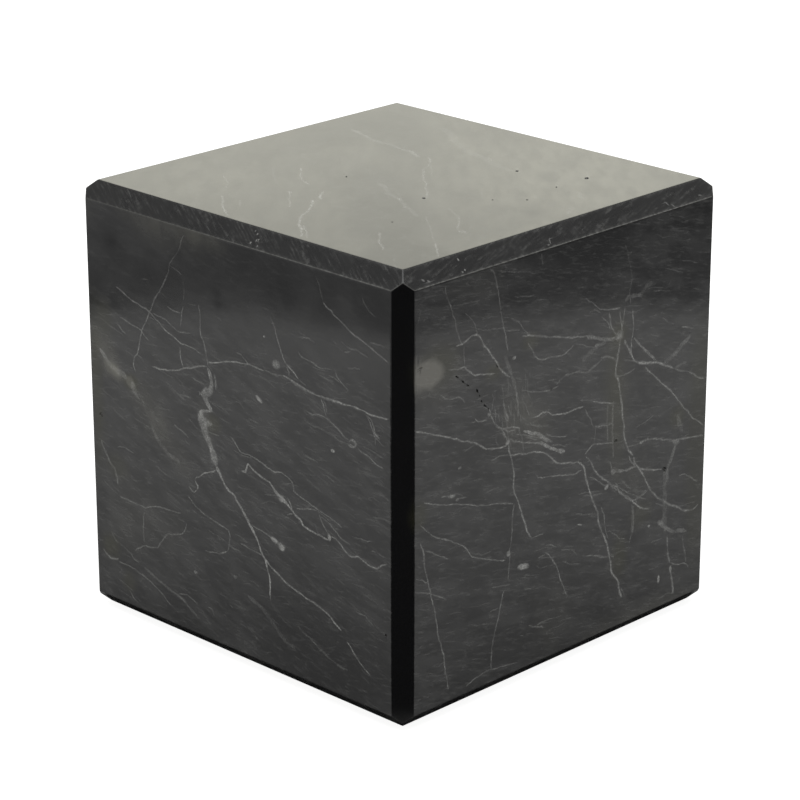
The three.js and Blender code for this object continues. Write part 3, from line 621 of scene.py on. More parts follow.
    (0.50, 0.30, [(4, -11.3), (6.5, -11.5)]),
    (0.90, 0.22, [(14.9, 7.5), (14.6, 4), (14.7, 0), (15, -3), (15.3, -6)]),
    (0.60, 0.20, [(13, 7), (12.9, 3), (13.2, -2)]),
    (0.80, 0.20, [(-4, 15.8), (-1, 17.2), (3, 17), (6, 16), (8.5, 17), (11, 18)]),
    (1.20, 0.16, [(4, 19), (8, 20.8), (12, 21.4)]),
    (0.60, 0.24, [(19, 29.4), (21, 30), (23, 29.5), (25, 30.6), (27.2, 31.4)]),
    (0.60, 0.20, [(19.5, 28), (19.4, 31), (19.9, 34), (19.2, 37), (18.2, 40), (17.4, 42)]),
    (0.50, 0.22, [(27, 29.5), (30, 28.7), (33, 28)]),
    (0.50, 0.22, [(-28.2, 34.3), (-25.5, 33), (-21, 32.6)]),
    (1.20, 0.14, [(-20, 26.5), (-18.8, 23.5), (-17.5, 20.5), (-16.5, 18)]),
    (0.60, 0.34, [(-16.2, 17.5), (-15.8, 14.5), (-15.7, 11.5)]),
    (0.60, 0.34, [(-20.4, 16.5), (-19.8, 14), (-18.8, 11.8)]),
    (0.80, 0.24, [(14, -6.5), (15, -9), (17.2, -9.5)]),
    (0.80, 0.22, [(18, -12), (20, -14), (21.5, -15)]),
    (1.80, 0.14, [(33, -13.8), (33, -17), (33.3, -20), (33.4, -24), (33.8, -29)]),
    (0.60, 0.45, [(20.2, 19.2), (20.2, 18), (20.5, 16.8), (21, 15.6)]),
    (0.60, 0.45, [(21, 20.2), (22.5, 18.8), (24, 17.3), (26, 15.3), (28.3, 13.2)]),
    (1.20, 0.18, [(17.8, 29), (19, 30), (21, 29.6), (23, 29.4), (25, 31), (27, 31.3)]),
    (0.60, 0.40, [(13.6, 17.8), (14.6, 17), (15.3, 16)]),
    (1.50, 0.15, [(31, 11.3), (33.5, 12.3), (36, 13.2), (38.5, 15), (40.5, 16)]),
    (1.20, 0.18, [(34.8, 9.6), (37, 9.9), (39.5, 10)]),
    (0.70, 0.36, [(15.2, -9.3), (18, -9.8), (20.5, -10), (22.7, -10)]),
    (0.60, 0.50, [(20.4, -6.8), (21, -8.2), (22, -9.4), (22.8, -10.4)]),
    (0.50, 0.36, [(14.2, -12.3), (17, -14), (19.5, -15.8), (22, -17.8), (24, -19)]),
    (0.90, 0.28, [(22.6, -18), (24.5, -17.7), (26.8, -16.6)]),
    (0.80, 0.22, [(21.9, -18.5), (22.1, -22), (22, -26), (21.3, -28)]),
    (1.50, 0.15, [(36.8, -1.5), (37.5, -4), (38.8, -6.5)]),
    (0.50, 0.32, [(20, -4.6), (23, -5), (25, -4.8), (27.6, -4.2)]),
]
print(len(RIGHT_VEINS), "veins on the right face")

# %% Veins of the top face
TOP_VEINS = [
    (0.70, 0.55, [(-21.8, -9.1), (-19.6, -11.1), (-17.9, -12.8), (-16.2, -14.2), (-14.5, -15.6),
        (-12.2, -16.6), (-10.5, -17)]),
    (0.60, 0.25, [(-26.3, -13.1), (-23.5, -15.6), (-21.2, -17.6), (-19, -19.5), (-16.2, -21.2),
        (-14.5, -22.4)]),
    (0.90, 0.70, [(-4.9, -18.4), (-3.2, -20.7), (-1.8, -22.4), (-0.5, -23.2)]),
    (0.60, 0.45, [(-9.6, -24), (-7.2, -26), (-5.5, -28), (-3.8, -29.4), (-1, -32.2)]),
    (0.90, 0.80, [(-1.8, -24.6), (0.1, -26.6), (1.8, -28.5), (3.2, -30.5), (4.1, -31.9), (4.9, -34.2),
        (6.3, -36.1), (8, -37.8), (9.7, -39.8), (11.5, -40.8), (13.1, -42.3), (16, -45)]),
    (0.70, 0.50, [(10.5, -39), (12.5, -40.9), (14.8, -42.3), (17.6, -44.9)]),
    (0.60, 0.40, [(-29.1, -25.2), (-26.3, -27.1), (-23.5, -29.1), (-21.2, -32.2)]),
    (0.80, 0.60, [(-17.9, -36.1), (-15.3, -38.1), (-13.1, -40.4), (-11.1, -42), (-8.9, -43.5),
        (-5.5, -45.4)]),
    (0.60, 0.30, [(-12.8, -35.6), (-8.6, -39.5)]),
    (0.80, 0.45, [(-7.7, 17), (-5.5, 15.3), (-3.2, 12.8), (-1.5, 9.2), (1.8, 5.5), (4.6, 2.7), (6.9, 1.3),
        (9.1, -1.3), (11.4, -3.2), (13.6, -5.5), (15, -6.9)]),
    (0.60, 0.25, [(-3, 13), (0, 10), (3.5, 6.6)]),
    (1.40, 0.22, [(-1, -5.8), (2.4, -6.9), (4.1, -8.2), (6.3, -9.9), (9.1, -10.8), (11.1, -11.3),
        (12.5, -12.2), (14.8, -13.6), (17, -14.8), (19.8, -16.4), (23.2, -18.1)]),
    (0.60, 0.30, [(23.8, -16.4), (28.3, -20.4), (31.6, -22.9), (35, -26), (38.4, -28.8)]),
    (0.80, 0.50, [(38.4, -28.8), (41.2, -31.4), (44, -33.9), (45.6, -35.4)]),
    (0.70, 0.40, [(23.2, -8.9), (24.9, -9.7), (27.1, -11.1), (29.4, -12.2), (31.1, -13.9), (32.8, -15.9),
        (34.5, -18.1), (37.3, -20.4)]),
    (0.60, 0.25, [(39, -18.7), (40.6, -21), (42.3, -23.2)]),
    (0.80, 0.65, [(25.4, -31.6), (27.1, -33.3), (28.8, -35.3), (30.5, -37), (33.3, -38.7),
        (34.5, -39.8)]),
    (0.60, 0.30, [(29.4, -28.8), (31.6, -30.5), (31, -32)]),
    (1.30, 0.25, [(-37, 21.8), (-33, 20.7), (-29.7, 19.6), (-26.3, 18.4), (-20, 18.4), (-16.7, 17.3)]),
    (1.30, 0.40, [(-16.7, 17.4), (-13.9, 17.6), (-11.1, 16.5), (-8.9, 15.3)]),
    (2.60, 0.16, [(-23.5, 37, 1.6), (-20.1, 35.9), (-16.2, 33.9), (-12.2, 30.5), (-8.3, 28.8),
        (-4.9, 26.9), (-1.5, 25.7), (1.8, 25.2), (5.2, 23.8), (8, 22.6), (14, 21.5, 1.4)]),
    (1.60, 0.10, [(-30.2, -0.1), (-27.4, -2.4), (-24, -4.1)]),
    (1.60, 0.12, [(-40.4, -17), (-37.6, -19.8), (-34.7, -22.1)]),
    (1.60, 0.10, [(-30.8, -33.9), (-27.4, -36.7), (-23.5, -40.1)]),
    (1.40, 0.16, [(35, 19.5), (37, 17.4), (39, 15.6)]),
    (1.60, 0.14, [(40.6, 10), (42.8, 7.6), (44.6, 4.9)]),
    (0.60, 0.20, [(19.8, 4.9), (21.8, 3), (23.8, 1)]),
    (0.60, 0.25, [(39.5, -41.8), (42.3, -44.6)]),
]
print(len(TOP_VEINS), "veins on the top face")

# %% [markdown]
# Cracks, patches and stains
#
# Some marks aren't pale lines. A few open cracks are black, the mineral lies in
# small lens-shaped patches here and there, soot-black spots show where no mineral
# is, and faint olive or tan stains run along the veins. A crack is listed as a vein
# is. A patch, spot or stain is an ellipse: its middle, length, width, turn in
# degrees and strength.

# %% Cracks, patches, dark spots and stains
CRACKS = {
    "front": [],
    "right": [
        (0.50, 0.90, [(-34.5, 25.5), (-33.5, 24.7), (-32.3, 23.5), (-31, 22.6), (-30, 22.2)]),
        (0.50, 0.90, [(-28.2, 20.7), (-27.3, 19.3), (-26.8, 18.3), (-26.2, 17.2), (-25.4, 16.6),
            (-24.5, 15.5)]),
        (0.45, 0.80, [(-23.6, 26.9), (-23, 26)]),
        (0.45, 0.80, [(-22.6, 25.5), (-22.1, 24.8)]),
        (0.60, 0.80, [(33, 10.9), (34, 10.4)]),
        (0.40, 0.70, [(-46.3, 29.2), (-45.8, 29.8), (-45, 29.7)]),
    ],
    "top": [
        (1.20, 0.22, [(20.4, 31.4), (23.8, 26.3), (26, 21.2)]),
    ],
}
PATCHES = {
    "front": [
        (7.8, 13.8, 2.6, 1.1, -30, 0.75), (13.2, 22.8, 2.8, 2.4, 0, 0.34), (29.8, 8.1, 1.4, 0.9, 0, 0.8),
        (9.7, 28.1, 0.7, 0.6, 0, 0.7), (-13.5, -32, 1.4, 0.9, 0, 0.45), (-0.7, -29.3, 1.1, 0.9, 0, 0.35),
        (12, -17, 3, 1.3, -18, 0.8), (14, -17.9, 2.4, 1.9, -30, 0.75), (28.6, -11.5, 1.1, 1.8, 0, 0.7),
        (14.2, -6.9, 2, 1.8, 0, 0.6),
    ],
    "right": [
        (16, 21.6, 2.8, 1.8, 0, 0.45), (9, 21.4, 2, 1, 0, 0.35), (15.3, -9.2, 1.8, 1.6, 0, 0.4),
        (13.2, -12.2, 1.9, 1.3, 30, 0.5), (36.6, -8.1, 3, 1.4, -15, 0.35),
        (24.6, -4.9, 1.6, 0.8, 10, 0.5),
        (-18.8, 6.9, 1.8, 1.2, 30, 0.7), (-24.6, 14.6, 1.2, 1, 0, 0.5), (-35.7, -0.4, 2.4, 0.9, -10, 0.6),
        (-34, -1.6, 1.2, 0.8, 0, 0.5), (-33.3, 5.2, 1.4, 0.7, 0, 0.3), (-18.2, -18.4, 1.3, 1.6, 20, 0.55),
        (32.2, -26.2, 3, 1.6, -30, 0.35), (-17.2, 25.1, 1.4, 0.9, 0, 0.5),
        (-13.4, -22.8, 4.2, 1.7, -12, 0.7), (31.9, -39.7, 0.9, 2.3, 0, 0.75),
        (16.3, 21.8, 3, 3, 0, 0.22), (28, -25.7, 1, 0.8, 0, 0.5),
    ],
    "top": [
        (37.4, -19.4, 2.4, 2, 0, 0.40), (28, 30.2, 2.2, 0.9, -50, 0.3), (13.2, 23.4, 2.2, 0.8, -50, 0.3),
        (28, 20, 2, 0.7, -45, 0.25), (-9.4, -24.1, 1.8, 1.2, -30, 0.6), (11.1, -11.3, 2, 1.2, -20, 0.5),
        (16.2, -14.8, 1.2, 1, -40, 0.5),
    ],
}
DARK_SPOTS = {
    "front": [
        (-38.8, 38.2, 5, 2, 12, 0.6), (-4.3, 31.8, 3.2, 1.5, 10, 0.7), (-26.3, 33.3, 1.3, 0.8, 0, 0.5),
        (-44, -3, 1.4, 1, 0, 0.5), (-41.5, -36, 1.6, 0.8, 0, 0.5), (18.3, -33.8, 2.5, 1.2, 0, 0.5),
        (19.2, -38.5, 0.8, 5, 0, 0.4),
    ],
    "right": [],
    "top": [
        (17, -24.5, 2.2, 1.4, -45, 0.3), (20, -23.5, 2, 1.2, -45, 0.3), (36, -35, 2.4, 1.6, -45, 0.3),
        (38, 1, 2.6, 1.4, -45, 0.3), (12, -29, 2.4, 1.4, -45, 0.3),
    ],
}
STAINS = {
    "front": [
        (-45, 3, 5, 50, 0, 0.6), (-39, -14, 10, 8, 0, 0.4), (-42, -34, 8, 8, 0, 0.6),
        (-36, -41, 6, 7, 0, 0.4),
        (-6.5, 4.5, 6, 6, 0, 0.6), (-33.3, 7.3, 7, 5, 0, 0.8), (-42, 20, 8, 12, 0, 0.4),
    ],
    "right": [
        (44, -10, 9, 70, 0, 0.6), (18, -30, 7, 14, 0, 0.5), (25, -22, 10, 8, 0, 0.4),
        (15.5, 6, 8, 40, 4, 0.5), (37, -2, 8, 7, 0, 0.5), (-45, -2, 6, 8, 0, 0.5),
        (-12, 27.5, 7, 5, 0, 0.5), (-23.5, 23.5, 7, 5, 0, 0.5), (16, 22, 8, 8, 0, 0.6),
        (-40, 29, 16, 12, 0, 0.5),
    ],
    "top": [],
}
BLOTCHES = {"front": [(-33.6, 7.2, 3.4, 2.8, -35, 0.4)], "right": [(-43, 28, 11, 7, -6, 0.68)], "top": []}
# wide soft clouds of the stone and broad painted light and shade, a positive strength paler than the stone
# around and a negative one darker
CLOUDS_LIGHT_AND_SHADE = {
    # on the front, the broad dark ovals at the far left edge, low on the right and near the top are painted
    # shade
    "front": [
        (-42, 13, 14, 9, -35, 0.22), (-27, 2, 20, 12, -40, 0.16), (-20, -5, 18, 8, -40, 0.10),
        (-36, -25, 20, 24, 0, 0.06), (-9, 4, 5, 12, 10, 0.14), (-38, 44, 16, 8, 0, -0.06),
        (-20, 45.5, 44, 9, 0, 0.16), (-38.5, 8.6, 10, 4, -18, 0.5),
        (-38.8, 38.2, 6, 3.4, 12, -0.9), (-4.3, 31.8, 4.5, 3, 10, -0.9), (25, -5, 26, 18, -30, -0.08),
        (-47, 47, 16, 12, 0, 0.08), (-10, 46, 16, 8, -10, 0.08), (28, -40, 60, 34, -18, -0.8),
        (-49, -22, 12, 66, 0, -0.55), (-24, -24, 18, 18, 0, 0.05), (12, 42, 26, 14, -10, -0.5),
    ],
    # on the right, the broad dark ovals near the top and at the far right edge are painted shade
    "right": [
        (-13, 9, 20, 14, -25, 0.18), (-40, 26, 18, 14, 0, 0.12), (16, 14, 12, 40, 4, 0.08),
        (4, 43, 50, 18, 0, -0.7), (28, -48, 60, 10, 0, 0.12), (-4, -38, 16, 20, 0, 0.06),
        (44, -12, 14, 40, 0, -0.5), (-26, 44, 30, 10, 0, 0.04), (22, -13, 22, 12, -35, 0.08),
        (-17, 15, 12, 14, 0, 0.10),
    ],
    # on the top, the paleness over the whole face and towards its back and right, and the darkening towards
    # its front corner and its left, are painted light and shade
    "top": [
        (0, 0, 200, 200, 0, 0.30), (30, 30, 100, 64, -45, 0.42), (-8, 28, 30, 9, -22, 0.16),
        (-31, -32, 54, 34, -40, 0.16), (-22, 24, 50, 16, -45, -0.22), (2, -8, 46, 22, -45, -0.30),
        (20, -24, 40, 22, -45, -0.40), (41, -40, 26, 22, -45, -0.38), (18, 0, 9, 7, -45, -0.25),
        (22.5, 23.5, 12, 6, -50, -0.5), (38.4, 1, 9, 7, -45, -0.40), (-42, 4, 20, 30, 0, 0.10),
        (-37, 18, 26, 60, 0, -0.22), (-26, 42, 34, 10, 0, 0.18), (23.5, 18.5, 8, 5, -30, 0.3),
        (30, 11, 8, 4, -50, 0.25), (47, -14, 10, 40, 0, 0.22),
    ],
}
# small bright chips in the bevels
CHIPS = {
    "front": [
        (5.2, 47.3, 0.5, 0.5, 0, 0.54), (6.3, 47.9, 0.4, 0.6, 0, 0.48), (7.4, 47.1, 0.5, 0.4, 0, 0.42),
        (6.8, 48.1, 0.4, 0.4, 0, 0.54),
    ],
    "right": [
        (-31.5, 47.2, 0.5, 0.4, 0, 0.54), (-32.4, 47.0, 0.5, 0.4, 0, 0.42), (-42, 47.2, 0.8, 0.5, -30, 0.36),
        (-43.2, 47.6, 0.9, 0.5, -30, 0.36), (-5.6, 47.5, 1.4, 0.3, 60, 0.4), (-6.5, 47, 0.9, 0.3, 10, 0.35),
        (32.2, 47.6, 1.2, 0.3, -55, 0.4), (33.6, 47, 1, 0.3, -50, 0.4), (43, 47.3, 1.2, 0.3, -10, 0.35),
    ],
    "top": [
        (5.6, -47.6, 0.5, 0.5, 0, 0.48), (4.6, -47.2, 0.4, 0.4, 0, 0.42), (47.5, -31.6, 0.6, 0.5, 0, 0.54),
    ],
}
print("patches", {side: len(marks) for side, marks in PATCHES.items()})

# %% [markdown]
# The open pits
#
# Polishing opens small pits where the stone was weak. On the real cube they are
# oval, deepest in the middle and steep at the rim. They could be cut with Boolean
# modifiers. Here the surface is a formula already, so a pit is only one more term
# in it: the height falls inside an oval by the depth of half an ellipsoid.

# %% Faces and their pits
FACES = {
    "front": (Vector((0, -1, 0)), Vector((1, 0, 0))),
    "right": (Vector((1, 0, 0)), Vector((0, 1, 0))),
    "back": (Vector((0, 1, 0)), Vector((-1, 0, 0))),
    "left": (Vector((-1, 0, 0)), Vector((0, -1, 0))),
    "top": (Vector((0, 0, 1)), Vector((1, 0, 0))),
    "bottom": (Vector((0, 0, -1)), Vector((1, 0, 0))),
}
# along, up, length, width, depth and turn of each pit
PITS = {
    "front": [(45.1, -28.6, 0.8, 0.6, 0.3, 60), (-43.8, -3, 1.3, 0.9, 0.3, 0)],
    "right": [
        (-34.4, 25.3, 1.1, 0.34, 0.25, -35), (-32.6, 23.8, 1.2, 0.32, 0.25, -45),
        (-31.1, 22.6, 0.8, 0.3, 0.2, -35), (-28.3, 20.7, 1.1, 0.45, 0.3, -60),
        (-27.6, 19.4, 0.5, 0.3, 0.2, -60), (-27, 18.1, 0.7, 0.3, 0.2, -60),
        (-25.9, 16.9, 1.1, 0.32, 0.25, -48), (-24.9, 15.9, 0.5, 0.25, 0.2, -50),
        (-22.4, 24.6, 0.8, 0.3, 0.2, -58), (-23.2, 26.2, 0.5, 0.26, 0.2, -58),
        (-45.2, 29.6, 1.7, 0.6, 0.3, 20), (32.8, -13.4, 1.4, 0.8, 0.4, -20), (15.9, -2.2, 1, 0.6, 0.3, 0),
        (-5.4, 15.2, 0.8, 0.5, 0.25, 0),
    ],
    "back": [(18, 27, 1.8, 0.8, 0.35, -30), (-24, -12, 1.4, 0.7, 0.3, -50)],
    "left": [(-16, 20, 1.6, 0.8, 0.35, -40), (27, -21, 1.3, 0.7, 0.3, -20)],
    "top": [
        (29, 28.7, 1.6, 0.9, 0.35, -50), (14.3, 22.3, 1.2, 0.7, 0.2, -50),
        (29, 18.8, 1.1, 0.35, 0.12, -45),
        (31, 7.2, 0.8, 0.5, 0.14, -45), (25.8, 2, 0.7, 0.4, 0.08, -45), (14.4, -7.3, 1.2, 0.7, 0.22, -35),
        (-9.2, -7.2, 1.2, 0.4, 0.12, -45), (22, -24.6, 0.7, 0.4, 0.1, -40),
    ],
    "bottom": [],
}


def oval_radius(points, along, up, length, width, turn):
    """How far out each point lies in an oval: 0 in its middle, 1 on its rim."""
    angle = np.radians(turn)
    across = points - (along, up)
    far = across @ (np.cos(angle), np.sin(angle)) / (length / 2)
    wide = across @ (-np.sin(angle), np.cos(angle)) / (width / 2)
    return np.hypot(far, wide)


def pit_drop(points, pits):
    """How far the surface has fallen: depth x square root of (1 - radius squared) in each pit."""
    drop = np.zeros(len(points))
    for along, up, length, width, depth, turn in pits:
        radius = oval_radius(points, along, up, length, width, turn)
        drop = np.maximum(drop, depth * np.sqrt(np.clip(1 - radius ** 2, 0, None)))
    return drop


print(sum(len(pits) for pits in PITS.values()), "pits")

# %% [markdown]
# Lines that wander like cracks
#
# A crack runs in short straight pieces, never in a smooth curve. Each listed line is
# carried straight from point to point, then shifted sideways by two waves of chance,
# one long and one short, and its width and paleness rise and fall along it. The
# chance numbers come from a seeded generator, so every run gives the same stone.

# %% Wandering lines
STEP = 0.5
HAIR_STEP = 1.0
THINNESS = 0.45
# a vein whose half width passes this many mm is flat-topped, a thinner one is a soft line
BOLD = 0.55
# how far a vein is shifted sideways, in mm, and how far apart its chance numbers are
WANDER = ((0.13, 1.5), (0.08, 0.5))
LEAST_HALF_WIDTH = 0.14
CHANCE = np.random.default_rng(41)


def pieces_line(points, step):
    """Places at even steps along the straight pieces between the listed points."""
    spans = np.linalg.norm(np.diff(points[:, :2], axis=0), axis=1)
    marks = np.concatenate([[0.0], np.cumsum(spans)])
    places = np.linspace(0.0, marks[-1], max(3, round(marks[-1] / step) + 1))
    return np.column_stack([np.interp(places, marks, column) for column in points.T]), places


def chance_wave(places, length):
    """Chance numbers of about -1 to 1, one every length, joined by straight lines."""
    knots = np.arange(-1, places[-1] / length + 2) * length
    return np.interp(places, knots, CHANCE.normal(0.0, 0.6, len(knots)))


def ribbon(width, paleness, points, step=STEP):
    """A vein as an array: place, sideways direction, half-strength width and paleness."""
    listed = np.array([(p[0], p[1], p[2] if len(p) > 2 else width) for p in points], float)
    line, places = pieces_line(listed, step)
    heading = np.gradient(line[:, :2], axis=0)
    heading /= np.linalg.norm(heading, axis=1)[:, None]
    side = np.column_stack([-heading[:, 1], heading[:, 0]])
    wander = sum(amount * chance_wave(places, length) for amount, length in WANDER)
    to_end = np.minimum(places, places[-1] - places)
    taper = np.clip(to_end / 1.2 + 0.35, 0.0, 1.0)
    wide = THINNESS * line[:, 2] * taper * (1 + 0.30 * chance_wave(places, 0.8))
    pale = paleness * np.clip(to_end / 0.4, 0.0, 1.0) * (1 + 0.35 * chance_wave(places, 1.6))
    wide = np.clip(wide, LEAST_HALF_WIDTH, None)
    return np.column_stack([line[:, :2] + wander[:, None] * side, side, wide, pale])


def hairlines(count, slopes, spread, area, rooted, near):
    """Short faint lines in an area (left, low, right, top); a share of them start on a vein."""
    made = []
    for slope in CHANCE.choice(slopes, count):
        band = near[CHANCE.integers(len(near))]
        on_vein = band[CHANCE.integers(len(band)), :2]
        loose = CHANCE.uniform(area[:2], area[2:])
        start = on_vein if CHANCE.random() < rooted else loose
        angle = math.radians(CHANCE.normal(slope, spread))
        heading = np.array([math.cos(angle), math.sin(angle)]) * CHANCE.choice([-1, 1])
        length = 1.5 + 6.0 * CHANCE.random() ** 2
        bend = np.array([-heading[1], heading[0]]) * CHANCE.normal(0.0, 0.07) * length
        points = [start, start + heading * length / 2 + bend, start + heading * length]
        made.append(ribbon(CHANCE.uniform(0.35, 0.6), CHANCE.uniform(0.05, 0.19), points, HAIR_STEP))
    return made


print("a test line has", len(ribbon(0.5, 0.5, [(0, 0), (4, 1), (9, 0)])), "places")

# %% [markdown]
# One face as a fitted net
#
# A face could be a plain grid, but a grid fine enough for hair-thin veins would need
# millions of cells. The surface is still a function of two parameters, along and up;
# only the places where it is sampled are chosen. They are a coarse grid, finer at
# the rounded edges, with rings round each pit and patch, rows along the ridges in
# the corners, and three rows along each vein: its middle line and its two sides. A
# bold vein has two rows more. A triangulation joins them all. The height and the
# marks are then worked out at every place at once.

# %% Where a face is sampled
REACH = HALF - BEVEL_LEG / 2
EDGE = HALF - BEVEL_LEG
EDGE_STEPS = np.array([-1.3, -0.5, -0.2, -0.09, -0.04, 0, 0.04, 0.08, 0.12, 0.18, 0.28, 0.6, 1.3])
# how far out the upright bevels' edges and their meeting point lie on a side face
UPRIGHT_SHIFT = (BEVEL_LEG - UPRIGHT_LEG) / 2
RIDGE_OFFSETS = (-0.3, -0.16, -0.07, -0.03, 0.03, 0.07, 0.16, 0.3)
GRID_STEP = 3.0


def grid_lines():
    """The grid's places along one axis: even steps inside, close ones at the edge, mirrored."""
    inside = np.arange(0.0, EDGE - 1.6, GRID_STEP)
    outer = np.concatenate([inside, EDGE + EDGE_STEPS, [REACH]])
    return np.unique(np.round(np.concatenate([-outer, outer]), 6))


def oval_rings(along, up, length, width, turn, rings, count=12):
    """Closed rings of points at these radii of an oval, and its middle."""
    angle = 2 * np.pi * np.arange(count) / count
    turned = np.radians(turn)
    far = np.outer(rings, np.cos(angle) * length / 2)
    wide = np.outer(rings, np.sin(angle) * width / 2)
    x = along + far * np.cos(turned) - wide * np.sin(turned)
    y = up + far * np.sin(turned) + wide * np.cos(turned)
    return np.vstack([np.column_stack([x.ravel(), y.ravel()]), [(along, up)]])


def row_links(count, first):
    """Links that join count places in a row, the first of them numbered first."""
    start = first + np.arange(count - 1)
    return np.column_stack([start, start + 1])


def corner_ridges(upright):
    """Rows of places along and beside the ridge in each corner of a face."""
    start, end = np.array([EDGE + upright, EDGE]), np.array([REACH, REACH - 2 * upright])
    rows = []
    for corner in ((-1, -1), (-1, 1), (1, -1), (1, 1)):
        for offset in (0.0, *RIDGE_OFFSETS):
            last = 1.0 if offset == 0 else 1 - (abs(offset) + 0.03) / (REACH - EDGE)
            steps = np.linspace(0.0, last, 10)[:, None]
            rows.append((start + (end - start) * steps + (offset, -offset)) * corner)
    return rows


def sample_places(ribbons, ovals, pits, upright):
    """All places of one face's net, and the links that its triangles must keep."""
    lines = grid_lines()
    count = len(lines)
    places = [np.column_stack([np.repeat(lines, count), np.tile(lines, count)])]
    order = np.arange(count * count).reshape(count, count)
    outer = np.flatnonzero(np.abs(lines) > EDGE - 2)
    rows = np.concatenate([order[outer], order[:, outer].T])
    links = [np.column_stack([rows[:, :-1].ravel(), rows[:, 1:].ravel()])]
    total = count * count
    for row in corner_ridges(upright):
        places.append(row)
        links.append(row_links(len(row), total))
        total += len(row)
    for band in ribbons:
        shoulder = (-0.6, 0.6) if band[:, 4].max() > BOLD else ()
        for sideways in (0.0, -1.0, 1.0, *shoulder):
            row = band[:, :2] + sideways * band[:, 4:5] * band[:, 2:4]
            places.append(np.clip(row, -EDGE - 1, EDGE + 1))
            links.append(row_links(len(row), total))
            total += len(row)
    for along, up, length, width, turn, _ in ovals:
        places.append(oval_rings(along, up, length, width, turn, (0.4, 0.7, 0.85, 1.0, 1.1)))
        total += len(places[-1])
    for along, up, length, width, _, turn in pits:
        places.append(oval_rings(along, up, length, width, turn, (0.5, 0.8, 0.94, 1.0, 1.06), 18))
        total += len(places[-1])
    places = np.vstack(places)
    return np.clip(places, -REACH, REACH), np.vstack(links)


print("grid lines", len(grid_lines()))

# %% Marks at a place
def vein_strength(points, ribbons):
    """The strongest vein at each point: paleness x hardness x (1 - distance / half width)."""
    strength = np.zeros(len(points))
    for band in ribbons:
        reach = band[:, 4].max()
        hardness = 2.5 if reach > BOLD else 1.0
        low = band[:, :2].min(axis=0) - reach
        high = band[:, :2].max(axis=0) + reach
        near = np.flatnonzero(np.all((points > low) & (points < high), axis=1))
        if not len(near):
            continue
        start, end = band[:-1], band[1:]
        run = end[:, :2] - start[:, :2]
        gap = points[near][:, None, :] - start[None, :, :2]
        t = np.clip((gap * run).sum(axis=2) / (run ** 2).sum(axis=1), 0.0, 1.0)
        away = np.linalg.norm(gap - t[:, :, None] * run, axis=2)
        wide = start[:, 4] + t * (end[:, 4] - start[:, 4])
        pale = start[:, 5] + t * (end[:, 5] - start[:, 5])
        here = (pale * np.clip(hardness * (1 - away / wide), 0.0, 1.0)).max(axis=1)
        strength[near] = np.maximum(strength[near], here)
    return strength


def oval_strength(points, ovals, hardness):
    """The strongest oval mark at each point: strength x hardness x (1 - radius), at most strength."""
    strength = np.zeros(len(points))
    for along, up, length, width, turn, amount in ovals:
        radius = oval_radius(points, along, up, length, width, turn)
        strength = np.maximum(strength, amount * np.clip(hardness * (1 - radius), 0.0, 1.0))
    return strength


def cloud_light_and_shade_level(points, clouds_light_and_shade):
    """0.5, plus half of every cloud's and painted tone's strength x (1 - radius squared)."""
    level = np.full(len(points), 0.5)
    for along, up, length, width, turn, amount in clouds_light_and_shade:
        radius = oval_radius(points, along, up, length, width, turn)
        level += 0.5 * amount * np.clip(1 - radius ** 2, 0.0, 1.0)
    return np.clip(level, 0.0, 1.0)


# %% [markdown]
# From six flat nets to a rounded block
#
# Each net is laid on its face and folded down over the half of the bevels beside it.
# That block still has knife-sharp edges, which no ground stone has. Rounding it is
# one formula: each point is divided by a high-power mean of how far it reaches
# towards each of the block's 18 planes, six faces and twelve bevels. On a face one
# plane rules and nothing changes; near an edge two planes share, and the edge
# between them is cut back by about 0.03 mm. The slope of the same formula gives the
# exact shading normals. The upright bevels are a little narrower than the level
# ones, so their planes stand further out.

# %% Rounding and normals
ROUND_POWER = 1400
BEVEL_PLANE = (2 * HALF - BEVEL_LEG) / math.sqrt(2)
UPRIGHT_PLANE = (2 * HALF - UPRIGHT_LEG) / math.sqrt(2)


def block_planes():
    """The outward directions (18 x 3) and distances of the block's faces and bevels."""
    steps = np.array(np.meshgrid([-1, 0, 1], [-1, 0, 1], [-1, 0, 1])).reshape(3, -1).T
    parts = np.abs(steps).sum(axis=1)
    faces = steps[parts == 1].astype(float)
    bevels = steps[parts == 2] / math.sqrt(2)
    bevel_distance = np.where(bevels[:, 2] == 0, UPRIGHT_PLANE, BEVEL_PLANE)
    distance = np.concatenate([np.full(len(faces), HALF), bevel_distance])
    return np.vstack([faces, bevels]), distance


PLANES, PLANE_DISTANCE = block_planes()


def rounded(points):
    """Points divided by (sum of shares ** power) ** (1 / power), the outward slope there,
    and how near an edge each point is: the second plane's part, 1 on the edge itself."""
    share = np.clip(points @ PLANES.T / PLANE_DISTANCE, 0.0, None)
    most = share.max(axis=1, keepdims=True)
    parts = (share / most) ** ROUND_POWER
    mean = most[:, 0] * parts.sum(axis=1) ** (1 / ROUND_POWER)
    slope = (parts / np.clip(share, 1e-9, None) / PLANE_DISTANCE) @ PLANES
    on_edge = np.sort(parts, axis=1)[:, -2]
    return points / mean[:, None], slope / np.linalg.norm(slope, axis=1)[:, None], on_edge


def fold_height(places):
    """A face's height: the half side, less how far a place lies beyond the bevel's edge."""
    return HALF - np.clip(np.abs(places).max(axis=1) - EDGE, 0.0, None)


print(len(PLANES), "planes, bevel planes at", round(BEVEL_PLANE, 3), "mm")

# %% Build one face
def turned_marks(marks, turned):
    """Oval marks as they are, or turned half round about the face's middle."""
    sign = -1.0 if turned else 1.0
    return [(sign * mark[0], sign * mark[1], *mark[2:]) for mark in marks]


def turned_ribbons(lines, turned):
    """Listed lines as ribbons, as they are or turned half round about the face's middle."""
    sign = -1.0 if turned else 1.0
    return [ribbon(w, p, [(sign * q[0], sign * q[1], *q[2:]) for q in points]) for w, p, points in lines]


def sorted_area(area, sign):
    """An area (left, low, right, top), turned half round if sign is -1."""
    x, y = sorted((sign * area[0], sign * area[2])), sorted((sign * area[1], sign * area[3]))
    return x[0], y[0], x[1], y[1]


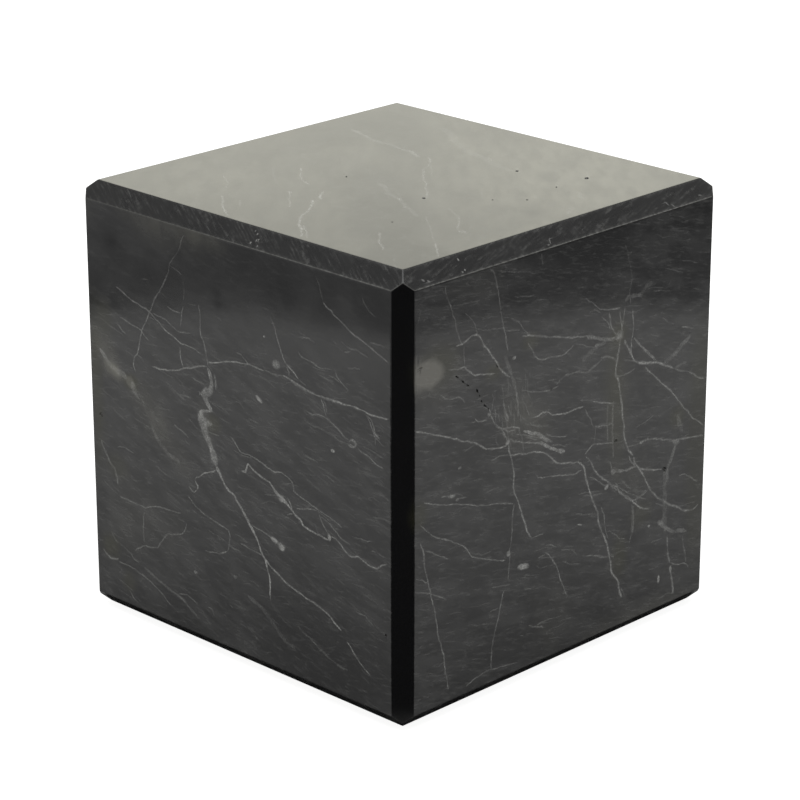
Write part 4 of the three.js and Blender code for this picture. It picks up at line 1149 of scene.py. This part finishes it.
def build_face(name, marks_of, turned):
    """One face's points, normals, triangles, two sets of marks, and its flat places."""
    veins = turned_ribbons(VEINS[marks_of], turned)
    sign = -1 if turned else 1
    for count, slopes, spread, area, rooted in HAIRLINES[marks_of]:
        veins += hairlines(count, slopes, spread, sorted_area(area, sign), rooted, veins)
    cracks = turned_ribbons(CRACKS[marks_of], turned)
    listed = (PATCHES, DARK_SPOTS, STAINS, BLOTCHES, CLOUDS_LIGHT_AND_SHADE, CHIPS)
    patches, spots, stains, blotches, clouds_light_and_shade, chips = (turned_marks(m[marks_of], turned) for m in listed)
    ovals = patches + spots + stains + blotches + chips
    upright = 0.0 if name in ("top", "bottom") else UPRIGHT_SHIFT
    places, links = sample_places(veins + cracks, ovals, PITS[name], upright)
    net = delaunay_2d_cdt([Vector(place) for place in places], links.tolist(), [], 0, 1e-5)
    flat = np.array([tuple(place) for place in net[0]])
    out, along = (np.array(part) for part in FACES[name])
    up = np.cross(out, along)
    solid = fold_height(flat)[:, None] * out + flat[:, :1] * along + flat[:, 1:] * up
    solid, normals, on_edge = rounded(solid)
    drop = pit_drop(flat, PITS[name])
    fall_along = pit_drop(flat + (NUDGE, 0), PITS[name]) - pit_drop(flat - (NUDGE, 0), PITS[name])
    fall_up = pit_drop(flat + (0, NUDGE), PITS[name]) - pit_drop(flat - (0, NUDGE), PITS[name])
    lean = (fall_along[:, None] * along + fall_up[:, None] * up) / (2 * NUDGE)
    upward = normals[:, 2]
    normals = normals + lean * (drop > 0)[:, None]
    normals /= np.linalg.norm(normals, axis=1)[:, None]
    beyond = np.abs(flat) - (EDGE + upright, EDGE)
    on_bevel = np.clip((beyond.max(axis=1) + 0.06) / 0.18, 0.0, 1.0)
    vein = np.maximum(vein_strength(flat, veins), oval_strength(flat, patches, 2.5)) * (1 - on_bevel)
    # painted shade: on the side faces the veins are made up to half as pale towards the top
    vein *= 1 - 0.5 * np.clip((solid[:, 2] - VEIN_SHADE_FROM) / 10, 0.0, 1.0) * (abs(out[2]) < 0.5)
    dark = np.maximum(vein_strength(flat, cracks), oval_strength(flat, spots, 1.6))
    # painted shade on the floors of the deep pits
    dark = np.maximum(dark, PIT_SHADE * (drop > DEEP_PIT))
    stain = oval_strength(flat, stains, 1.5)
    tan = oval_strength(flat, blotches, 3.5) * (1 - on_bevel)
    marks = np.column_stack([vein, dark, stain, cloud_light_and_shade_level(flat, clouds_light_and_shade)])
    ground = np.maximum(on_bevel * np.where(np.abs(upward) > 0.3, 1.0, 0.4), drop > 0)
    # a painted highlight: a pale line along the upper edges, fainter the further it lies from the right face
    # and weaker near the corners
    upper = np.clip(upward * 2.5, 0.0, 1.0) * np.clip((0.85 - upward) * 5, 0.0, 1.0)
    edge_highlight = on_edge ** 0.3 * upper * (1 - 0.90 * (HALF - solid[:, 0]) / (2 * HALF))
    edge_highlight *= 1 - 0.6 * np.clip(beyond.min(axis=1) + 1, 0.0, 1.0)
    chipped = oval_strength(flat, chips, 2.5)
    edges = np.column_stack([ground, edge_highlight, chipped, tan])
    return solid - drop[:, None] * out, normals, np.array(net[2]), marks, edges, flat


# height in mm from which the side veins are made fainter towards the top, as painted shade for the darker
# band that the sides mirror there
VEIN_SHADE_FROM = 26.0
# the step in mm over which a pit's slope is measured
NUDGE = 0.004
# the depth in mm past which a pit's floor gets painted shade, and how dark that painted shade is
DEEP_PIT = 0.1
PIT_SHADE = 0.28
# sets of hairlines: how many, their slopes in degrees, its spread, their area and the rooted share
HAIRLINES = {
    "front": [(190, [-16, -16, 8], 7.0, (-45, -45, 45, 34), 0.4)],
    "right": [(230, [-14, -14, -5], 7.0, (-45, -45, 45, 40), 0.4), (42, [-72], 14.0, (-23, 9, -12, 21), 0.0)],
    "top": [(70, [-45], 9.0, (-45, -45, 45, 45), 0.4)],
}
VEINS = {"front": FRONT_VEINS, "right": RIGHT_VEINS, "top": TOP_VEINS}
# which listed marks each face takes, and whether they are turned half round on it
MARKS_ON = {
    "front": ("front", False),
    "right": ("right", False),
    "top": ("top", False),
    "back": ("front", True),
    "left": ("right", True),
    "bottom": ("top", True),
}

# %% [markdown]
# One mesh from six faces
#
# Neighbouring nets meet along the middle lines of the bevels, and points that are
# equal there are welded. In a few places one net has points on the line that the
# other has not. Those seams stay unjoined: the slits are far too narrow to be seen,
# but the mesh is not watertight.

# %% Join the six faces
MAP_MARGIN = 0.98
# points are equal if they round to the same step; the shift keeps round values off the borders
STEPS_PER_MM = 1e5
STEP_SHIFT = 0.137


def build_cube():
    """The stone as one object: welded points, triangles, marks, map and normals."""
    points, normals, triangles, marks, edges, maps = [], [], [], [], [], []
    total = 0
    for number, (name, (marks_of, turned)) in enumerate(MARKS_ON.items()):
        solid, slope, faces, mark, edge, flat = build_face(name, marks_of, turned)
        corner = np.array([number % 3 + 0.5, number // 3 + 0.5])
        points.append(solid)
        normals.append(slope)
        triangles.append(faces + total)
        marks.append(mark)
        edges.append(edge)
        maps.append((corner + MAP_MARGIN * flat / (2 * REACH)) / (3, 2))
        total += len(solid)
    points, normals, triangles = np.vstack(points), np.vstack(normals), np.vstack(triangles)
    keys = np.round(points * STEPS_PER_MM + STEP_SHIFT).astype(np.int64)
    _, kept, place_of = np.unique(keys, axis=0, return_index=True, return_inverse=True)
    place_of = place_of.ravel()
    centre = np.array([MIDDLE.x, MIDDLE.y, MIDDLE.z])
    mesh = bpy.data.meshes.new("shungite_stone")
    mesh.from_pydata((points[kept] * MM + centre).tolist(), [], place_of[triangles].tolist())
    for title, values in (("marks", marks), ("edges", edges)):
        layer = mesh.attributes.new(title, "FLOAT_COLOR", "POINT")
        layer.data.foreach_set("color", np.vstack(values)[kept].astype(np.float32).ravel())
    own_map = mesh.uv_layers.new(name="OFBake")
    own_map.data.foreach_set("uv", np.vstack(maps)[triangles.ravel()].astype(np.float32).ravel())
    mesh.polygons.foreach_set("use_smooth", np.ones(len(triangles), bool))
    mesh.normals_split_custom_set_from_vertices(normals[kept].tolist())
    mesh.update()
    stone = bpy.data.objects.new("shungite_stone", mesh)
    bpy.context.scene.collection.objects.link(stone)
    return stone


stone = build_cube()
print(len(stone.data.vertices), "points,", len(stone.data.polygons), "triangles")

# %% [markdown]
# The look of the stone
#
# The stone under the polish is almost black, so its shader is a very dark colour
# with a clear, slightly dense gloss (IOR 1.6, as for hard coal or glassy carbon).
# The mineral in the veins is a pale grey. Where the marks are strong the colour
# moves from black to grey, and finer chances than the net can hold, such as grain in
# a vein, faint streaks along the old layers of the rock and a dusting of specks,
# are noise in Object coordinates, so they run right through the block. Near the top
# of the front and back faces the streaks and bands are calmer.
#
# Two effects are node groups: one breaks up the veins, the other makes the layers.

# %% Grain inside the veins
def build_vein_grain():
    """Group: a vein's strength, made uneven along and across by two sizes of noise."""
    group = new_group("vein_grain",
                      [("Place", "NodeSocketVector", (0, 0, 0)), ("Strength", "NodeSocketFloat", 0.0)],
                      [("Amount", "NodeSocketFloat")])
    given = node(group, "NodeGroupInput").outputs
    coarse = noise(group, given["Place"], 0.75)
    fine = noise(group, given["Place"], 2.6)
    broad = soft_step(group, coarse, 0.32, 0.68, 0.65, 1.3)
    small = soft_step(group, fine, 0.33, 0.67, 0.5, 1.45)
    uneven = sums(group, "MULTIPLY", sums(group, "MULTIPLY", given["Strength"], broad), small)
    node(group, "NodeGroupOutput", {"Amount": uneven})
    return group


# %% Layers, haze and specks
# outward direction, scale along and across (per mm) and line width of each set of layers
LAYERS = [
    ((0.27, 0.25, 1.0), 0.13, 0.85, 0.055),
    ((-0.12, 0.15, 1.0), 0.12, 0.70, 0.045),
]
# outward direction and scales of the broad darker and paler bands
BANDS = ((0.30, 0.25, 1.0), 0.10, 0.36)


def squeezed(tree, place, normal, along, across):
    """Space scaled by across along a direction and by along at right angles to it."""
    normal = Vector(normal).normalized()
    depth = node(tree, "ShaderNodeVectorMath", {0: place, 1: normal}, operation="DOT_PRODUCT")
    lifted = node(tree, "ShaderNodeVectorMath", {0: tuple(normal * (across - along))}, operation="SCALE")
    tree.links.new(depth.outputs["Value"], lifted.inputs["Scale"])
    spread = node(tree, "ShaderNodeVectorMath", {0: place}, operation="SCALE")
    spread.inputs["Scale"].default_value = along
    return node(tree, "ShaderNodeVectorMath", {0: spread.outputs[0], 1: lifted.outputs[0]}).outputs[0]


def build_layers():
    """Group: wavy hairlines along two sets of rock layers, soft cloudiness and fine specks."""
    results = [(title, "NodeSocketFloat") for title in ("Streaks", "Cloud", "Bands")]
    group = new_group("stone_layers", [("Place", "NodeSocketVector", (0, 0, 0))], results)
    place = node(group, "NodeGroupInput").outputs["Place"]
    cloud = noise(group, place, 0.08, 4.0)
    bands = noise(group, squeezed(group, place, *BANDS), 1.0, 3.0, 0.6)
    total = None
    for normal, along, across, width in LAYERS:
        laid = squeezed(group, place, normal, along, across)
        wave = noise(group, laid, 1.0)
        from_line = sums(group, "ABSOLUTE", sums(group, "SUBTRACT", wave, 0.5))
        line = soft_step(group, from_line, width, 0.0)
        gaps = noise(group, laid, 2.3, 1.0)
        dashes = sums(group, "MULTIPLY", line, soft_step(group, gaps, 0.45, 0.62))
        total = dashes if total is None else sums(group, "ADD", total, dashes)
    specks = soft_step(group, noise(group, place, 2.2), 0.56, 0.74)
    node(group, "NodeGroupOutput", {
        "Streaks": sums(group, "ADD", total, sums(group, "MULTIPLY", specks, 0.35)),
        "Cloud": soft_step(group, cloud, 0.35, 0.65),
        "Bands": soft_step(group, bands, 0.32, 0.68),
    })
    return group


# %% The polished stone
BEVEL_DARK = (0.0031, 0.0031, 0.0034, 1.0)
STONE_GREY = (0.0200, 0.0200, 0.0203, 1.0)
# the pale tone of the stone's clouds and of the painted light
PALE_CLOUD_AND_LIGHT = (0.110, 0.107, 0.090, 1.0)
MINERAL_PALE = (0.299, 0.300, 0.294, 1.0)
STAIN_OLIVE = (0.0190, 0.0185, 0.0080, 1.0)
BLOTCH_TAN = (0.104, 0.100, 0.090, 1.0)
STONE_IOR = 1.6
VEIN_PALENESS = 0.64
STREAK_PALENESS = 0.045
VEIN_ROUGHNESS = 0.12
BEVEL_ROUGHNESS = 0.18
# outward direction, scale along and across (per mm) of the grinding marks on the bevels
SCRATCH_LAYER = ((0.34, -0.12, 0.93), 0.20, 3.2)
# the same for the uneven look of the pale clouds
MOTTLE = ((1.0, 1.0, 0.4), 0.10, 0.36)


def mix_colour(tree, factor, first, second):
    """The colour between first and second at factor."""
    made = node(tree, "ShaderNodeMix", data_type="RGBA")
    for place, value in ((0, factor), (6, first), (7, second)):
        if isinstance(value, bpy.types.NodeSocket):
            tree.links.new(value, made.inputs[place])
        else:
            made.inputs[place].default_value = value
    return made.outputs[2]


def read_marks(tree, name):
    """The four values of one of the stone's mark layers."""
    layer = node(tree, "ShaderNodeAttribute", attribute_name=name)
    parts = node(tree, "ShaderNodeSeparateColor", {"Color": layer.outputs["Color"]}).outputs
    return parts[0], parts[1], parts[2], layer.outputs["Alpha"]


def build_stone_material():
    """Polished shungite: dark gloss, pale veins, stains, ground bevels and a painted highlight along the
    upper edges.
    """
    material = bpy.data.materials.new("polished_shungite")
    material.use_nodes = True
    tree = material.node_tree
    shader = tree.nodes["Principled BSDF"]
    shader.inputs["IOR"].default_value = STONE_IOR
    metres = node(tree, "ShaderNodeTexCoord").outputs["Object"]
    scaled = node(tree, "ShaderNodeMapping", {"Vector": metres, "Scale": (1 / MM, 1 / MM, 1 / MM)})
    place = scaled.outputs[0]
    vein, dark, stain, cloud_light_and_shade = read_marks(tree, "marks")
    ground, edge_highlight, chipped, tan = read_marks(tree, "edges")
    grain = node(tree, "ShaderNodeGroup", node_tree=build_vein_grain())
    tree.links.new(place, grain.inputs["Place"])
    tree.links.new(vein, grain.inputs["Strength"])
    layers = node(tree, "ShaderNodeGroup", node_tree=build_layers())
    tree.links.new(place, layers.inputs["Place"])
    on_face = soft_step(tree, ground, 0.3, 0.0)
    parts = node(tree, "ShaderNodeSeparateXYZ", {0: place}).outputs
    to_front = soft_step(tree, sums(tree, "ABSOLUTE", parts[1]), 47.0, 49.0)
    calm = sums(tree, "MULTIPLY", soft_step(tree, parts[2], 70.0, 80.0), to_front)
    banded = soft_step(tree, layers.outputs["Bands"], 0.0, 1.0, 0.30, 1.0)
    banded = sums(tree, "MAXIMUM", banded, sums(tree, "MULTIPLY", calm, 0.78))
    broad = sums(tree, "MULTIPLY", soft_step(tree, layers.outputs["Cloud"], 0.0, 1.0, 0.70, 1.0), banded)
    cloudy = sums(tree, "MULTIPLY", broad, on_face)
    lightly = mix_colour(tree, cloudy, BEVEL_DARK, STONE_GREY)
    # above 0.5 paler, below it darker: the stone's clouds with painted light and shade
    swing = sums(tree, "MULTIPLY", sums(tree, "SUBTRACT", cloud_light_and_shade, 0.5), 2.0)
    mottle = noise(tree, squeezed(tree, place, *MOTTLE), 1.0, 3.0)
    uneven = soft_step(tree, mottle, 0.3, 0.7, 0.62, 1.38)
    paler_cloud_and_light = sums(tree, "MULTIPLY", sums(tree, "MULTIPLY", swing, uneven), on_face)
    clouded_and_lit = mix_colour(tree, paler_cloud_and_light, lightly, PALE_CLOUD_AND_LIGHT)
    # darker where there are cracks, dark spots, painted shade in deep pits and broad painted shade
    darker = sums(tree, "MAXIMUM", dark, sums(tree, "MULTIPLY", swing, -1.0))
    olive = mix_colour(tree, stain, clouded_and_lit, STAIN_OLIVE)
    blotched = mix_colour(tree, tan, olive, BLOTCH_TAN)
    streaky = sums(tree, "MULTIPLY", on_face, soft_step(tree, calm, 0.0, 1.0, 1.0, 0.4))
    streaks = sums(tree, "MULTIPLY", layers.outputs["Streaks"], streaky)
    faint = sums(tree, "MULTIPLY", streaks, STREAK_PALENESS)
    pale = sums(tree, "ADD", sums(tree, "MULTIPLY", grain.outputs["Amount"], VEIN_PALENESS), faint)
    veined = mix_colour(tree, pale, mix_colour(tree, darker, blotched, BEVEL_DARK), MINERAL_PALE)
    scratch = noise(tree, squeezed(tree, place, *SCRATCH_LAYER), 1.0, 4.0, 0.6)
    broken = noise(tree, place, 0.9, 3.0)
    patchy = soft_step(tree, broken, 0.35, 0.65, 0.08, 0.38)
    chamfer = sums(tree, "MULTIPLY", soft_step(tree, ground, 0.5, 0.9), patchy)
    scratched = sums(tree, "MULTIPLY", soft_step(tree, scratch, 0.46, 0.70, 0.0, 0.36), chamfer)
    # the painted highlight along the upper edges, broken into patches
    edge_highlight_patches = sums(tree, "MULTIPLY", edge_highlight, soft_step(tree, broken, 0.35, 0.65, 0.16, 0.48))
    # the bevels' chips and grinding scratches, together with the painted highlight
    scratches_chips_and_highlight = sums(tree, "ADD", sums(tree, "MAXIMUM", edge_highlight_patches, chipped), scratched)
    tree.links.new(mix_colour(tree, scratches_chips_and_highlight, veined, MINERAL_PALE), shader.inputs["Base Color"])
    polish = soft_step(tree, layers.outputs["Cloud"], 0.0, 1.0, 0.085, 0.11)
    on_vein = sums(tree, "ADD", sums(tree, "MULTIPLY", pale, VEIN_ROUGHNESS), polish)
    rough = sums(tree, "ADD", sums(tree, "MULTIPLY", ground, BEVEL_ROUGHNESS), on_vein)
    tree.links.new(rough, shader.inputs["Roughness"])
    return material


stone.data.materials.append(build_stone_material())
print("stone material has", len(stone.data.materials[0].node_tree.nodes), "nodes")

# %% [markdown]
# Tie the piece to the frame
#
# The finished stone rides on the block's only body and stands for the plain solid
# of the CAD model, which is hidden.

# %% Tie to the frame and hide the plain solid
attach(stone, "root")
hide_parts("shungite_cube")
